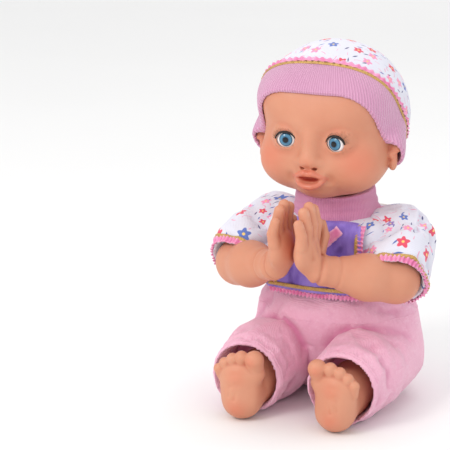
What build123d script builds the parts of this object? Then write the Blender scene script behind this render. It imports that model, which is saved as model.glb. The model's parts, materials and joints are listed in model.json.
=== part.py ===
from build123d import *
import os
from math import acos, cos, degrees, pi, radians, sin, tan

os.makedirs("parts", exist_ok=True)

# A sitting baby doll that claps its hands. The doll looks along -Y, its left hand is at +X,
# and the seat of its romper rests on the plane Z = 0. All sizes are in millimetres.

# ---------------------------------------------------------------- clearances
body_gap = 0.5          # between cloth or skin of pieces that move against each other
seat_gap = 0.15         # between pieces that are seated in each other and don't move
running_gap = 0.06      # radial gap of a shaft in its bore
cloth = 2.0             # thickness of the romper cloth with its lining

# ---------------------------------------------------------------- trunk
casing_wall = 2.2
casing_bottom = 59.4
belly_top = 99.0
belly_half_width = 48.0
belly_half_depth = 37.0
chest_half_depth = 34.0
chest_corner = 12.0
chest_top = 134.0
shoulder_x = 34.0       # distance of each shoulder shaft from the middle plane
shoulder_radius = 14.0  # rounded shoulder of the casing about its shaft
pad_half_width = 34.0   # flat pad on the back that carries the battery door
pad_depth = 38.0
pad_top = 112.0
seat_half_width = 61.0
seat_half_depth = 45.0
seat_top = 80.0

# ---------------------------------------------------------------- neck and head
neck_bore = 12.0
neck_ring_radius = 17.0
neck_ring_top = 140.0
head_radius = 52.0
head_half_height = 55.0
head_middle = 205.0
head_forward = 4.0
head_wall = 3.0
head_bottom = 154.0
eye_radius = 11.0
eye_half_spacing = 20.0
eye_height = 198.0
hat_cloth = 2.6
hat_band_width = 23.0
hat_front_height = 230.0
hat_slope = 1.4         # drop of the hat's edge for each millimetre towards the back
hat_bottom = 162.0

# ---------------------------------------------------------------- arms
arm_swing = 32.0        # degrees that each arm opens
arm_wall = 2.6
shoulder_height = 120.0
shoulder_ball = (54.0, -6.0, shoulder_height)
elbow = (62.0, -42.0, 98.5)
wrist = (18.0, -74.0, 112.0)
arm_radii = (16.5, 16.0, 11.5)
hand_length = 44.0
hand_width = 31.0
hand_thickness = 14.0
hand_half_gap = 1.2     # half of the space between the two palms
sleeve_end = (59.0, -31.0, 106.0)
sleeve_radius = 24.0
hub_bottom = 104.4
hub_window_bottom = 112.0
hub_window_top = 128.0
shaft_radius = 3.0

# ---------------------------------------------------------------- legs
hip = (36.0, -6.0, 28.6)
trouser_radius = 28.0
trouser_hem_radius = 28.4
trouser_end = -84.0
leg_radius = 21.0
ankle_radius = 16.5
ankle = (36.0, -86.0, 21.0)
leg_wall = 3.0
foot_width = 38.0
foot_height = 52.0
foot_sole = -107.0
foot_thickness = 22.0
leg_raise = 8.0         # degrees that a leg lifts from sitting
leg_raise_spare = 4.0   # degrees that the casing and the seat are cut clear beyond that
leg_lower = 60.0        # degrees that a leg drops from sitting

# ---------------------------------------------------------------- gears
pressure_angle = radians(25.0)
clap_module = 1.7
clap_teeth = 40
drive_module = 0.8
drive_teeth = 45
small_pinion_teeth = 12
reduction_module = 0.5
reduction_teeth = 30
drive_direction = -30.0  # degrees, from the right shaft to the reduction gear
motor_direction = 60.0   # degrees, from the reduction gear to the motor shaft
gear_level_low = 101.6
gear_level_middle = 104.6
gear_level_high = 109.4
thin_gear = 2.6
thick_gear = 3.8
axle_radius = 1.0
bracket_bottom = 98.6
bracket_thickness = 2.0

# ---------------------------------------------------------------- electrics
battery_radius = 7.25
battery_length = 50.5
battery_pitch = 14.6
battery_play = 0.2
battery_count = 3
battery_y = 27.4
box_wall = 1.5
box_side_room = 6.0     # room beside the batteries for the springs and the door screw
door_thickness = 2.2
speaker_radius = 17.0
speaker_height = 80.0
speaker_front = -30.5
board_y = 12.0
board_thickness = 1.6
motor_radius = 9.0
motor_length = 18.0
button_radius = 7.0
button_height = 121.0
button_travel = 2.0
slider_travel = 4.0
slider_height = 122.0

screw_shank = 1.2
screw_head = 2.8
post_radius = 3.6
lower_post_x = 39.5
lower_post_heights = (68.0, 92.0)
upper_post_x = 14.0
upper_post_height = 123.5
screw_seat_y = 8.0


# ---------------------------------------------------------------- shapes used more than once
def save(piece, name):
    """Label a finished piece and write it to its own file."""
    piece.label = name
    export_step(piece, f"parts/{name}.step")


def limb(points, radii):
    """A rounded limb: a ball at each point, joined by cones."""
    with BuildPart() as tube:
        for point, radius in zip(points, radii):
            with Locations(point):
                Sphere(radius)
        for start, end, first, last in zip(points, points[1:], radii, radii[1:]):
            run = Vector(*end) - Vector(*start)
            with BuildSketch(Plane(origin=start, z_dir=run)):
                Circle(first)
            with BuildSketch(Plane(origin=end, z_dir=run)):
                Circle(last)
            loft()
    return tube.part


def block(low, high):
    """A plain box between two corners."""
    with BuildPart() as box:
        with Locations(tuple((a + b) / 2 for a, b in zip(low, high))):
            Box(*(b - a for a, b in zip(low, high)))
    return box.part


def rod(centre, direction, radius, length):
    """A cylinder that starts at a centre and runs along a direction."""
    with BuildPart() as bar:
        with BuildSketch(Plane(origin=centre, z_dir=direction)):
            Circle(radius)
        extrude(amount=length)
    return bar.part


def trunk_form(grow, bottom=casing_bottom, top=chest_top):
    """The outer shape of the trunk casing, grown or shrunk evenly by a distance."""
    low = bottom - grow
    sections = (
        (low, 0.86, 0.84),
        (bottom + 8.0, 0.97, 0.97),
        (bottom + 22.0, 1.0, 1.0),
        (belly_top + grow, 0.88, 0.92),
    )
    with BuildPart() as form:
        for height, across, deep in sections:
            with BuildSketch(Plane.XY.offset(height)):
                Ellipse(belly_half_width * across + grow, belly_half_depth * deep + grow)
        loft()
        with BuildSketch(Plane.XY.offset(belly_top - 10.0)):
            RectangleRounded(
                2 * (shoulder_x + grow), 2 * (chest_half_depth + grow), chest_corner + grow
            )
            with Locations((-shoulder_x, 0), (shoulder_x, 0)):
                Circle(shoulder_radius + grow)
        extrude(amount=top + grow - belly_top + 10.0)
        with BuildSketch(Plane.XY.offset(low)):
            with Locations((0, (pad_depth + grow) / 2)):
                Rectangle(2 * (pad_half_width + grow), pad_depth + grow)
        extrude(amount=pad_top + 2 * grow - bottom)
    return form.part


def head_form(grow):
    """The round head without its features, grown or shrunk evenly by a distance."""
    with BuildPart() as form:
        with BuildSketch(Plane.XZ.offset(head_forward)):
            with Locations((0, head_middle)):
                Ellipse(head_radius + grow, head_half_height + grow)
            split(bisect_by=Plane.YZ, keep=Keep.TOP)
        revolve(axis=Axis((0, -head_forward, 0), (0, 0, 1)))
    return form.part


def gear_outline(module, teeth, tooth_direction, backlash, addendum=1.0):
    """Points of an involute gear about the origin, with a tooth centred on a direction in degrees."""
    pitch_radius = module * teeth / 2
    base_radius = pitch_radius * cos(pressure_angle)
    tip_radius = pitch_radius + addendum * module
    root_radius = pitch_radius - 1.25 * module
    half_tooth = 90.0 / teeth - degrees(backlash / (2 * pitch_radius))
    pitch_involute = tan(pressure_angle) - pressure_angle
    flank_start = max(base_radius, root_radius)
    steps = 5
    flank = []
    for step in range(steps + 1):
        radius = flank_start + (tip_radius - flank_start) * step / steps
        roll = acos(min(1.0, base_radius / radius))
        turn = half_tooth + degrees(pitch_involute - (tan(roll) - roll))
        flank.append((radius, turn))
    if root_radius < base_radius:
        flank.insert(0, (root_radius, flank[0][1]))
    points = []
    for tooth in range(teeth):
        middle = tooth_direction + 360.0 * tooth / teeth
        for radius, turn in flank:
            angle = radians(middle - turn)
            points.append((radius * cos(angle), radius * sin(angle)))
        for radius, turn in reversed(flank):
            angle = radians(middle + turn)
            points.append((radius * cos(angle), radius * sin(angle)))
    return points


def sector_outline(reach, first, last):
    """Corners of a wedge about the origin, between two directions in degrees."""
    middle = (first + last) / 2
    stretch = reach / cos(radians((last - first) / 4))
    corners = [(0.0, 0.0)]
    for direction in (first, middle, last):
        corners.append((stretch * cos(radians(direction)), stretch * sin(radians(direction))))
    return corners


def gear(centre, thickness, module, teeth, tooth_direction, backlash, addendum=1.0, span=None):
    """A spur gear that stands on a centre point, whole or only between two directions in degrees."""
    points = gear_outline(module, teeth, tooth_direction, backlash, addendum)
    with BuildPart() as wheel:
        with BuildSketch(Plane(origin=centre)):
            with BuildLine():
                Polyline(points, close=True)
            make_face()
            if span:
                with BuildLine():
                    Polyline(sector_outline(module * teeth, *span), close=True)
                make_face(mode=Mode.INTERSECT)
        extrude(amount=thickness)
    return wheel.part


def spring(start, direction, radius, length, wire, turns=3):
    """A coil spring of round wire that starts at a point and runs along a direction."""
    coil = Helix(
        pitch=length / turns, height=length, radius=radius, center=start, direction=direction
    )
    with BuildPart() as wound:
        with BuildSketch(Plane(origin=coil @ 0, z_dir=coil % 0)):
            Circle(wire)
        sweep(path=coil)
    return wound.part


# ---------------------------------------------------------------- places worked out from the sizes
sides = ((-1, "right"), (1, "left"))
lower_posts = [(x, z) for x in (-lower_post_x, lower_post_x) for z in lower_post_heights]
posts = lower_posts + [(-upper_post_x, upper_post_height), (upper_post_x, upper_post_height)]
box_half_width = battery_length / 2 + box_side_room
box_bottom = casing_bottom + casing_wall + seat_gap
battery_heights = [
    box_bottom + box_wall + battery_play + battery_radius + i * battery_pitch for i in range(battery_count)
]
box_top = battery_heights[-1] + battery_radius + battery_play + box_wall
box_front = battery_y - battery_radius - battery_play - box_wall
door_inner = pad_depth - door_thickness
box_back = door_inner - seat_gap
door_half_width = box_half_width - 0.6
door_bottom = box_bottom + 1.0
door_top = box_top - 1.0
door_screw_x = box_half_width - box_wall - 1.6
door_screw_height = (battery_heights[0] + battery_heights[1]) / 2
shaft_bottom = belly_top + 2.6
shaft_top = chest_top - 1.5
boss_bottom = bracket_bottom + bracket_thickness + seat_gap
boss_top = hub_bottom - 0.4
upper_boss = hub_window_top + 0.5
button_face = -chest_half_depth
button_back = button_face + casing_wall + 1.6
switch_face = button_back + 3.0 + button_travel + 0.2

# ---------------------------------------------------------------- trunk casing
trunk_outer = trunk_form(0.0)
with BuildPart() as cavity:
    add(trunk_form(-casing_wall))
    for side, _ in sides:
        inner, outer = sorted((side * (shoulder_x - 5.0), side * (shoulder_x + shoulder_radius)))
        for low, high in ((boss_bottom, boss_top), (upper_boss, chest_top)):
            add(
                block((inner, -shoulder_radius, low), (outer, shoulder_radius, high)),
                mode=Mode.SUBTRACT,
            )

with BuildPart() as post_rods:
    with BuildSketch(Plane.XZ.offset(-pad_depth)):
        with Locations(posts):
            Circle(post_radius)
    extrude(amount=2 * pad_depth)
    with BuildSketch(Plane.XZ.offset(-speaker_front + seat_gap)):
        with Locations((0, speaker_height)):
            Circle(speaker_radius)
            Circle(speaker_radius - 2.0, mode=Mode.SUBTRACT)
    extrude(amount=10.0)
    add(trunk_outer, mode=Mode.INTERSECT)

with BuildPart() as casing:
    add(trunk_outer)
    add(cavity.part, mode=Mode.SUBTRACT)
    add(post_rods.part)
    with BuildSketch(Plane.XY.offset(chest_top - casing_wall)):
        Circle(neck_ring_radius)
    extrude(amount=neck_ring_top - chest_top + casing_wall)
    with BuildSketch(Plane.XY.offset(chest_top - 2 * casing_wall)):
        Circle(neck_bore + running_gap)
    extrude(amount=neck_ring_top, mode=Mode.SUBTRACT)
    for side, _ in sides:
        with BuildSketch(Plane.XY.offset(hub_window_bottom)):
            with Locations((side * shoulder_x, 0)):
                Circle(shoulder_radius + 5.0)
        extrude(amount=hub_window_top - hub_window_bottom + 0.5, mode=Mode.SUBTRACT)
        with BuildSketch(Plane.XY.offset(shaft_bottom - 0.1)):
            with Locations((side * shoulder_x, 0)):
                Circle(shaft_radius + running_gap)
        extrude(amount=shaft_top - shaft_bottom + 0.2, mode=Mode.SUBTRACT)
    with BuildSketch(Plane.XZ.offset(10.0)):
        with Locations(posts):
            Circle(screw_shank)
    extrude(amount=-10.0 - screw_seat_y, mode=Mode.SUBTRACT)
    with BuildSketch(Plane.XZ.offset(-screw_seat_y)):
        with Locations(posts):
            Circle(screw_head + 0.3)
    extrude(amount=-pad_depth, mode=Mode.SUBTRACT)
    add(
        block(
            (-door_half_width - 0.3, box_back - 1.0, door_bottom - 0.3),
            (door_half_width + 0.3, pad_depth + 1.0, door_top + 0.3),
        ),
        mode=Mode.SUBTRACT,
    )
    add(
        block(
            (-3.0 - slider_travel / 2 - 0.3, chest_half_depth - 4.0, slider_height - 2.3),
            (3.0 + slider_travel / 2 + 0.3, chest_half_depth + 1.0, slider_height + 2.3),
        ),
        mode=Mode.SUBTRACT,
    )
    with BuildSketch(Plane.XZ.offset(chest_half_depth - 4.0)):
        with Locations((0, button_height)):
            Circle(button_radius + 0.25)
        with Locations((0, speaker_height)):
            Circle(1.2)
            with PolarLocations(5.0, 6):
                Circle(1.2)
            with PolarLocations(10.0, 12):
                Circle(1.2)
    extrude(amount=10.0, mode=Mode.SUBTRACT)

with BuildPart() as front_casing:
    add(casing.part)
    split(bisect_by=Plane.XZ, keep=Keep.TOP)
save(front_casing.part, "front_casing")

with BuildPart() as back_casing:
    add(casing.part)
    split(bisect_by=Plane.XZ, keep=Keep.BOTTOM)
save(back_casing.part, "back_casing")

with BuildPart() as casing_screws:
    with BuildSketch(Plane.XZ.offset(-screw_seat_y)):
        with Locations(posts):
            Circle(screw_head)
    extrude(amount=-2.0)
    with BuildSketch(Plane.XZ.offset(-screw_seat_y)):
        with Locations(posts):
            Circle(screw_shank)
    extrude(amount=screw_seat_y + 8.0)
    with BuildSketch(Plane.XZ.offset(-screw_seat_y - 1.0)):
        with Locations(posts):
            Rectangle(3.6, 0.7)
            Rectangle(0.7, 3.6)
    extrude(amount=-1.0, mode=Mode.SUBTRACT)
save(casing_screws.part, "casing_screws")

# ---------------------------------------------------------------- battery compartment
with BuildPart() as battery_box:
    add(block((-box_half_width, box_front, box_bottom), (box_half_width, box_back, box_top)))
    add(
        block(
            (-box_half_width + box_wall, box_front + box_wall, box_bottom + box_wall),
            (box_half_width - box_wall, box_back + 1.0, box_top - box_wall),
        ),
        mode=Mode.SUBTRACT,
    )
    add(
        block(
            (battery_length / 2 + 0.6, box_front, box_bottom),
            (battery_length / 2 + 1.6, box_back - 3.0, box_top),
        )
    )
    with BuildSketch(Plane.XZ.offset(-box_front)):
        with Locations((door_screw_x, door_screw_height)):
            Circle(1.9)
    extrude(amount=-(box_back - box_front))
    with BuildSketch(Plane.XZ.offset(-box_back)):
        with Locations((door_screw_x, door_screw_height)):
            Circle(0.8)
    extrude(amount=8.0, mode=Mode.SUBTRACT)
save(battery_box.part, "battery_box")

with BuildPart() as batteries:
    for height in battery_heights:
        with BuildSketch(Plane.YZ.offset(-battery_length / 2)):
            with Locations((battery_y, height)):
                Circle(battery_radius)
        extrude(amount=battery_length - 1.0)
        with BuildSketch(Plane.YZ.offset(battery_length / 2 - 1.0)):
            with Locations((battery_y, height)):
                Circle(2.7)
        extrude(amount=1.0)
save(batteries.part, "batteries")

with BuildPart() as battery_contacts:
    for height in battery_heights:
        for start in (battery_length / 2 + 0.1, -box_half_width + box_wall + 0.05):
            with BuildSketch(Plane.YZ.offset(start)):
                with Locations((battery_y, height)):
                    RectangleRounded(10.0, 10.0, 1.5)
            extrude(amount=0.4)
save(battery_contacts.part, "battery_contacts")

spring_start = -box_half_width + box_wall + 0.7
spring_height = -battery_length / 2 - 0.3 - spring_start
wire_radius = 0.3
with BuildPart() as battery_springs:
    for height in battery_heights:
        add(
            spring(
                (spring_start + wire_radius, battery_y, height),
                (1, 0, 0),
                3.2,
                spring_height - 2 * wire_radius,
                wire_radius,
            )
        )
save(battery_springs.part, "battery_springs")

with BuildPart() as battery_door:
    add(block((-door_half_width, door_inner, door_bottom), (door_half_width, pad_depth, door_top)))
    fillet(battery_door.edges().filter_by(Axis.Y), 2.0)
    with BuildSketch(Plane.XZ.offset(-pad_depth)):
        with Locations((0, door_top - 5.0)):
            with GridLocations(0, 1.6, 1, 4):
                Rectangle(14.0, 0.7)
    extrude(amount=0.5, mode=Mode.SUBTRACT)
    with BuildSketch(Plane.XZ.offset(-pad_depth)):
        with Locations((door_screw_x, door_screw_height)):
            Circle(1.75)
    extrude(amount=1.3, mode=Mode.SUBTRACT)
    with BuildSketch(Plane.XZ.offset(-pad_depth)):
        with Locations((door_screw_x, door_screw_height)):
            Circle(0.85)
    extrude(amount=door_thickness, mode=Mode.SUBTRACT)
save(battery_door.part, "battery_door")

with BuildPart() as door_screw:
    with BuildSketch(Plane.XZ.offset(-pad_depth + 1.3)):
        with Locations((door_screw_x, door_screw_height)):
            Circle(1.6)
    extrude(amount=-1.1)
    with BuildSketch(Plane.XZ.offset(-pad_depth + 1.3)):
        with Locations((door_screw_x, door_screw_height)):
            Circle(0.78)
    extrude(amount=6.0)
save(door_screw.part, "door_screw")

# ---------------------------------------------------------------- speaker and electronics
with BuildPart() as speaker_basket:
    with BuildSketch(Plane.XZ.offset(-speaker_front)):
        with Locations((0, speaker_height)):
            Circle(speaker_radius)
            Circle(speaker_radius - 2.4, mode=Mode.SUBTRACT)
    extrude(amount=-1.2)
    with BuildSketch(Plane.XZ.offset(-speaker_front - 1.2)):
        with Locations((0, speaker_height)):
            Circle(speaker_radius - 1.0)
            Circle(speaker_radius - 2.4, mode=Mode.SUBTRACT)
    extrude(amount=-5.0)
    with BuildSketch(Plane.XZ.offset(-speaker_front - 6.2)):
        with Locations((0, speaker_height)):
            Circle(speaker_radius - 1.0)
            Circle(3.0, mode=Mode.SUBTRACT)
    extrude(amount=-1.2)
    with BuildSketch(Plane.XZ.offset(-speaker_front - 6.2)):
        with Locations((0, speaker_height)):
            with PolarLocations(11.5, 6):
                Circle(2.2)
    extrude(amount=-1.2, mode=Mode.SUBTRACT)
save(speaker_basket.part, "speaker_basket")

with BuildPart() as speaker_cone:
    with BuildSketch(Plane.XZ.offset(-speaker_front - 0.4)):
        with Locations((0, speaker_height)):
            Circle(speaker_radius - 2.6)
    with BuildSketch(Plane.XZ.offset(-speaker_front - 4.4)):
        with Locations((0, speaker_height)):
            Circle(5.0)
    loft()
    with BuildSketch(Plane.XZ.offset(-speaker_front)):
        with Locations((0, speaker_height)):
            Circle(speaker_radius - 3.2)
    with BuildSketch(Plane.XZ.offset(-speaker_front - 3.4)):
        with Locations((0, speaker_height)):
            Circle(4.4)
    loft(mode=Mode.SUBTRACT)
    with Locations((0, speaker_front + 3.6, speaker_height)):
        Sphere(4.6)
    add(
        block(
            (-5.0, speaker_front + 4.4, speaker_height - 5.0),
            (5.0, speaker_front + 9.0, speaker_height + 5.0),
        ),
        mode=Mode.SUBTRACT,
    )
save(speaker_cone.part, "speaker_cone")

with BuildPart() as speaker_magnet:
    with BuildSketch(Plane.XZ.offset(-speaker_front - 7.4)):
        with Locations((0, speaker_height)):
            Circle(8.0)
    extrude(amount=-5.0)
    fillet(speaker_magnet.edges().sort_by(Axis.Y)[-1], 0.8)
save(speaker_magnet.part, "speaker_magnet")

board_half_width = 30.0
board_bottom = 65.0
board_top = 97.0
board_back = board_y + board_thickness
with BuildPart() as circuit_board:
    add(
        block(
            (-board_half_width, board_y, board_bottom), (board_half_width, board_back, board_top)
        )
    )
    fillet(circuit_board.edges().filter_by(Axis.Y), 1.5)
save(circuit_board.part, "circuit_board")

chip = (-1.0, 82.0, 12.0, 12.0, 2.0)  # middle X and Z, width, height, thickness
crystal = (16.0, 72.5, 8.0, 5.0, 1.6)
resistor = (1.6, 1.0, 0.6)
resistor_height = 92.5
resistors = [(x, resistor_height, *resistor) for x in (-15.2, -11.2, 10.8, 14.8, 18.8)]
capacitor_radius = 2.2
capacitor_length = 3.4
capacitor_height = 84.0
capacitor_places = (-26.0, -20.0, 24.0)
with BuildPart() as board_components:
    for x, z, width, height, thickness in [chip, crystal] + resistors:
        low = (x - width / 2, board_back, z - height / 2)
        high = (x + width / 2, board_back + thickness, z + height / 2)
        add(block(low, high))
    for x in capacitor_places:
        with BuildSketch(Plane.XZ.offset(-board_back)):
            with Locations((x, capacitor_height)):
                Circle(capacitor_radius)
        extrude(amount=-capacitor_length)
save(board_components.part, "board_components")

with BuildPart() as button_switch:
    add(block((-5.0, switch_face, button_height - 5.0), (5.0, switch_face + 4.0, button_height + 5.0)))
    add(
        block(
            (-upper_post_x + post_radius, switch_face + 4.0, button_height - 5.0),
            (upper_post_x - post_radius, switch_face + 5.6, button_height + 5.0),
        )
    )
save(button_switch.part, "button_switch")

with BuildPart() as chest_button:
    with BuildSketch(Plane.XZ.offset(-button_face)):
        with Locations((0, button_height)):
            Circle(button_radius)
    extrude(amount=-(casing_wall + 0.4))
    chamfer(chest_button.edges().sort_by(Axis.Y)[0], 0.5)
    with BuildSketch(Plane.XZ.offset(-button_face - casing_wall - 0.4)):
        with Locations((0, button_height)):
            Circle(button_radius + 1.2)
    extrude(amount=-1.2)
    with BuildSketch(Plane.XZ.offset(-button_back)):
        with Locations((0, button_height)):
            Circle(1.8)
    extrude(amount=-3.0)
save(chest_button.part, "chest_button")

button_spring = spring(
    (0, button_back + 0.4, button_height), (0, 1, 0), 3.2, switch_face - button_back - 0.9, 0.25
)
save(button_spring, "button_spring")

slider_x = -slider_travel / 2
slider_inner = chest_half_depth - casing_wall - 0.3
with BuildPart() as power_slider:
    add(
        block(
            (slider_x - 5.6, slider_inner - 1.2, slider_height - 4.0),
            (slider_x + 5.6, slider_inner, slider_height + 4.0),
        )
    )
    add(
        block(
            (slider_x - 3.0, slider_inner, slider_height - 2.0),
            (slider_x + 3.0, chest_half_depth + 1.0, slider_height + 2.0),
        )
    )
    for x in (-1.6, 0.0, 1.6):
        add(
            block(
                (slider_x + x - 0.3, chest_half_depth + 0.6, slider_height - 2.0),
                (slider_x + x + 0.3, chest_half_depth + 1.0, slider_height + 2.0),
            ),
            mode=Mode.SUBTRACT,
        )
save(power_slider.part, "power_slider")

with BuildPart() as power_switch:
    add(
        block(
            (-8.0, slider_inner - 7.0, slider_height - 4.0),
            (8.0, slider_inner - 1.6, slider_height + 4.0),
        )
    )
    add(
        block(
            (-9.8, slider_inner - 7.0, slider_height - 4.0),
            (9.8, slider_inner - 5.8, slider_height + 4.0),
        )
    )
save(power_switch.part, "power_switch")

# ---------------------------------------------------------------- motor and gears
clap_radius = clap_module * clap_teeth / 2
drive_radius = drive_module * drive_teeth / 2
drive_pinion_radius = drive_module * small_pinion_teeth / 2
reduction_radius = reduction_module * reduction_teeth / 2
motor_pinion_radius = reduction_module * small_pinion_teeth / 2
drive_distance = drive_radius + drive_pinion_radius
motor_distance = reduction_radius + motor_pinion_radius
reduction_x = -shoulder_x + drive_distance * cos(radians(drive_direction))
reduction_y = drive_distance * sin(radians(drive_direction))
motor_x = reduction_x + motor_distance * cos(radians(motor_direction))
motor_y = reduction_y + motor_distance * sin(radians(motor_direction))
gear_top = gear_level_high + 2.8
mesh_margin = 9.0

with BuildPart() as gear_bracket:
    with BuildSketch(Plane.XY.offset(bracket_bottom)):
        RectangleRounded(
            2 * (shoulder_x - casing_wall - seat_gap),
            2 * (chest_half_depth - casing_wall - seat_gap),
            chest_corner - casing_wall,
        )
        with Locations((0, box_front + chest_half_depth - 0.4)):
            Rectangle(4 * shoulder_x, 2 * chest_half_depth, mode=Mode.SUBTRACT)
        with Locations((motor_x, motor_y)):
            Circle(2.5, mode=Mode.SUBTRACT)
        with Locations((reduction_x, reduction_y)):
            Circle(axle_radius, mode=Mode.SUBTRACT)
    extrude(amount=bracket_thickness)
save(gear_bracket.part, "gear_bracket")

with BuildPart() as motor:
    with BuildSketch(Plane.XY.offset(bracket_bottom - motor_length - 0.1)):
        with Locations((motor_x, motor_y)):
            Circle(motor_radius)
    extrude(amount=motor_length)
    fillet(motor.edges().filter_by(GeomType.CIRCLE), 1.0)
    with BuildSketch(Plane.XY.offset(bracket_bottom - 0.1)):
        with Locations((motor_x, motor_y)):
            Circle(2.3)
    extrude(amount=bracket_thickness)
    with BuildSketch(Plane.XY.offset(bracket_bottom - motor_length - 1.3)):
        with Locations((motor_x, motor_y)):
            Circle(3.0)
    extrude(amount=1.2)
save(motor.part, "motor")

with BuildPart() as motor_pinion:
    add(
        gear(
            (motor_x, motor_y, gear_level_low),
            thin_gear,
            reduction_module,
            small_pinion_teeth,
            motor_direction + 180.0 + 180.0 / small_pinion_teeth,
            0.08,
        )
    )
    with BuildSketch(Plane.XY.offset(bracket_bottom - 0.05 + bracket_thickness)):
        with Locations((motor_x, motor_y)):
            Circle(1.0)
    extrude(amount=gear_level_low - bracket_bottom - bracket_thickness + 0.05)
save(motor_pinion.part, "motor_pinion")

with BuildPart() as reduction_gear:
    add(
        gear(
            (reduction_x, reduction_y, gear_level_low),
            thin_gear,
            reduction_module,
            reduction_teeth,
            motor_direction,
            0.08,
        )
    )
    add(
        gear(
            (reduction_x, reduction_y, gear_level_low + thin_gear),
            gear_level_middle + thick_gear - gear_level_low - thin_gear,
            drive_module,
            small_pinion_teeth,
            drive_direction + 180.0 + 180.0 / small_pinion_teeth,
            0.12,
        )
    )
    with BuildSketch(Plane.XY.offset(gear_level_low)):
        with Locations((reduction_x, reduction_y)):
            Circle(axle_radius + running_gap)
    extrude(amount=2 * thick_gear + thin_gear, mode=Mode.SUBTRACT)
save(reduction_gear.part, "reduction_gear")

with BuildPart() as gear_axle:
    with BuildSketch(Plane.XY.offset(bracket_bottom)):
        with Locations((reduction_x, reduction_y)):
            Circle(axle_radius)
    extrude(amount=gear_level_middle + thick_gear + 0.3 - bracket_bottom)
save(gear_axle.part, "gear_axle")

clap_span_right = (-mesh_margin, arm_swing + mesh_margin)
clap_span_left = (180.0 - arm_swing - mesh_margin, 180.0 + mesh_margin)
drive_span = (drive_direction - mesh_margin, drive_direction + arm_swing + mesh_margin)
clap_spans = {"right": clap_span_right, "left": clap_span_left}
clap_teeth_directions = {"right": 0.0, "left": 180.0 + 180.0 / clap_teeth}
arm_gears = {}
for side, name in sides:
    with BuildPart() as arm_gear:
        with BuildSketch(Plane.XY.offset(hub_bottom + 0.1)):
            with Locations((side * shoulder_x, 0)):
                Circle(9.0)
        extrude(amount=gear_top - hub_bottom - 0.1)
        add(
            gear(
                (side * shoulder_x, 0, gear_level_high),
                gear_top - gear_level_high,
                clap_module,
                clap_teeth,
                clap_teeth_directions[name],
                0.2,
                0.9,
                clap_spans[name],
            )
        )
        if name == "right":
            add(
                gear(
                    (side * shoulder_x, 0, gear_level_middle),
                    thick_gear,
                    drive_module,
                    drive_teeth,
                    drive_direction,
                    0.12,
                    0.85,
                    drive_span,
                )
            )
        with BuildSketch(Plane.XY.offset(hub_bottom)):
            with Locations((side * shoulder_x, 0)):
                Circle(6.02)
        extrude(amount=gear_top, mode=Mode.SUBTRACT)
    arm_gears[name] = arm_gear
    save(arm_gear.part, f"{name}_arm_gear")

# ---------------------------------------------------------------- arms
arm_points = (shoulder_ball, elbow, wrist)
arm_solid = limb(arm_points, arm_radii)
arm_hollow = limb(arm_points, [radius - arm_wall for radius in arm_radii])
arm_clear = limb(arm_points, [radius + 0.3 for radius in arm_radii])
shoulder_reach = Vector(*shoulder_ball) - Vector(shoulder_x, 0, shoulder_height)
hand_y = wrist[1] - 5.0
hand_z = wrist[2] + hand_length / 2
root_cut = rod((shoulder_x, 0, casing_bottom), (0, 0, 1), shoulder_radius + body_gap, 120.0)
belly_cut = rod(
    (shoulder_x, 0, casing_bottom),
    (0, 0, 1),
    shoulder_radius + 10.0,
    belly_top + 2.0 - casing_bottom,
)
front_side = Plane(origin=(shoulder_x + cloth + 1.2, 0, 0), z_dir=(1, 0, 0))
back_turn = radians(90.0 - arm_swing - 8.0)
back_normal = (sin(back_turn), -cos(back_turn), 0)
back_side = Plane(
    origin=(
        shoulder_x + (cloth + 1.2) * back_normal[0],
        (cloth + 1.2) * back_normal[1],
        0,
    ),
    z_dir=back_normal,
)

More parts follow.
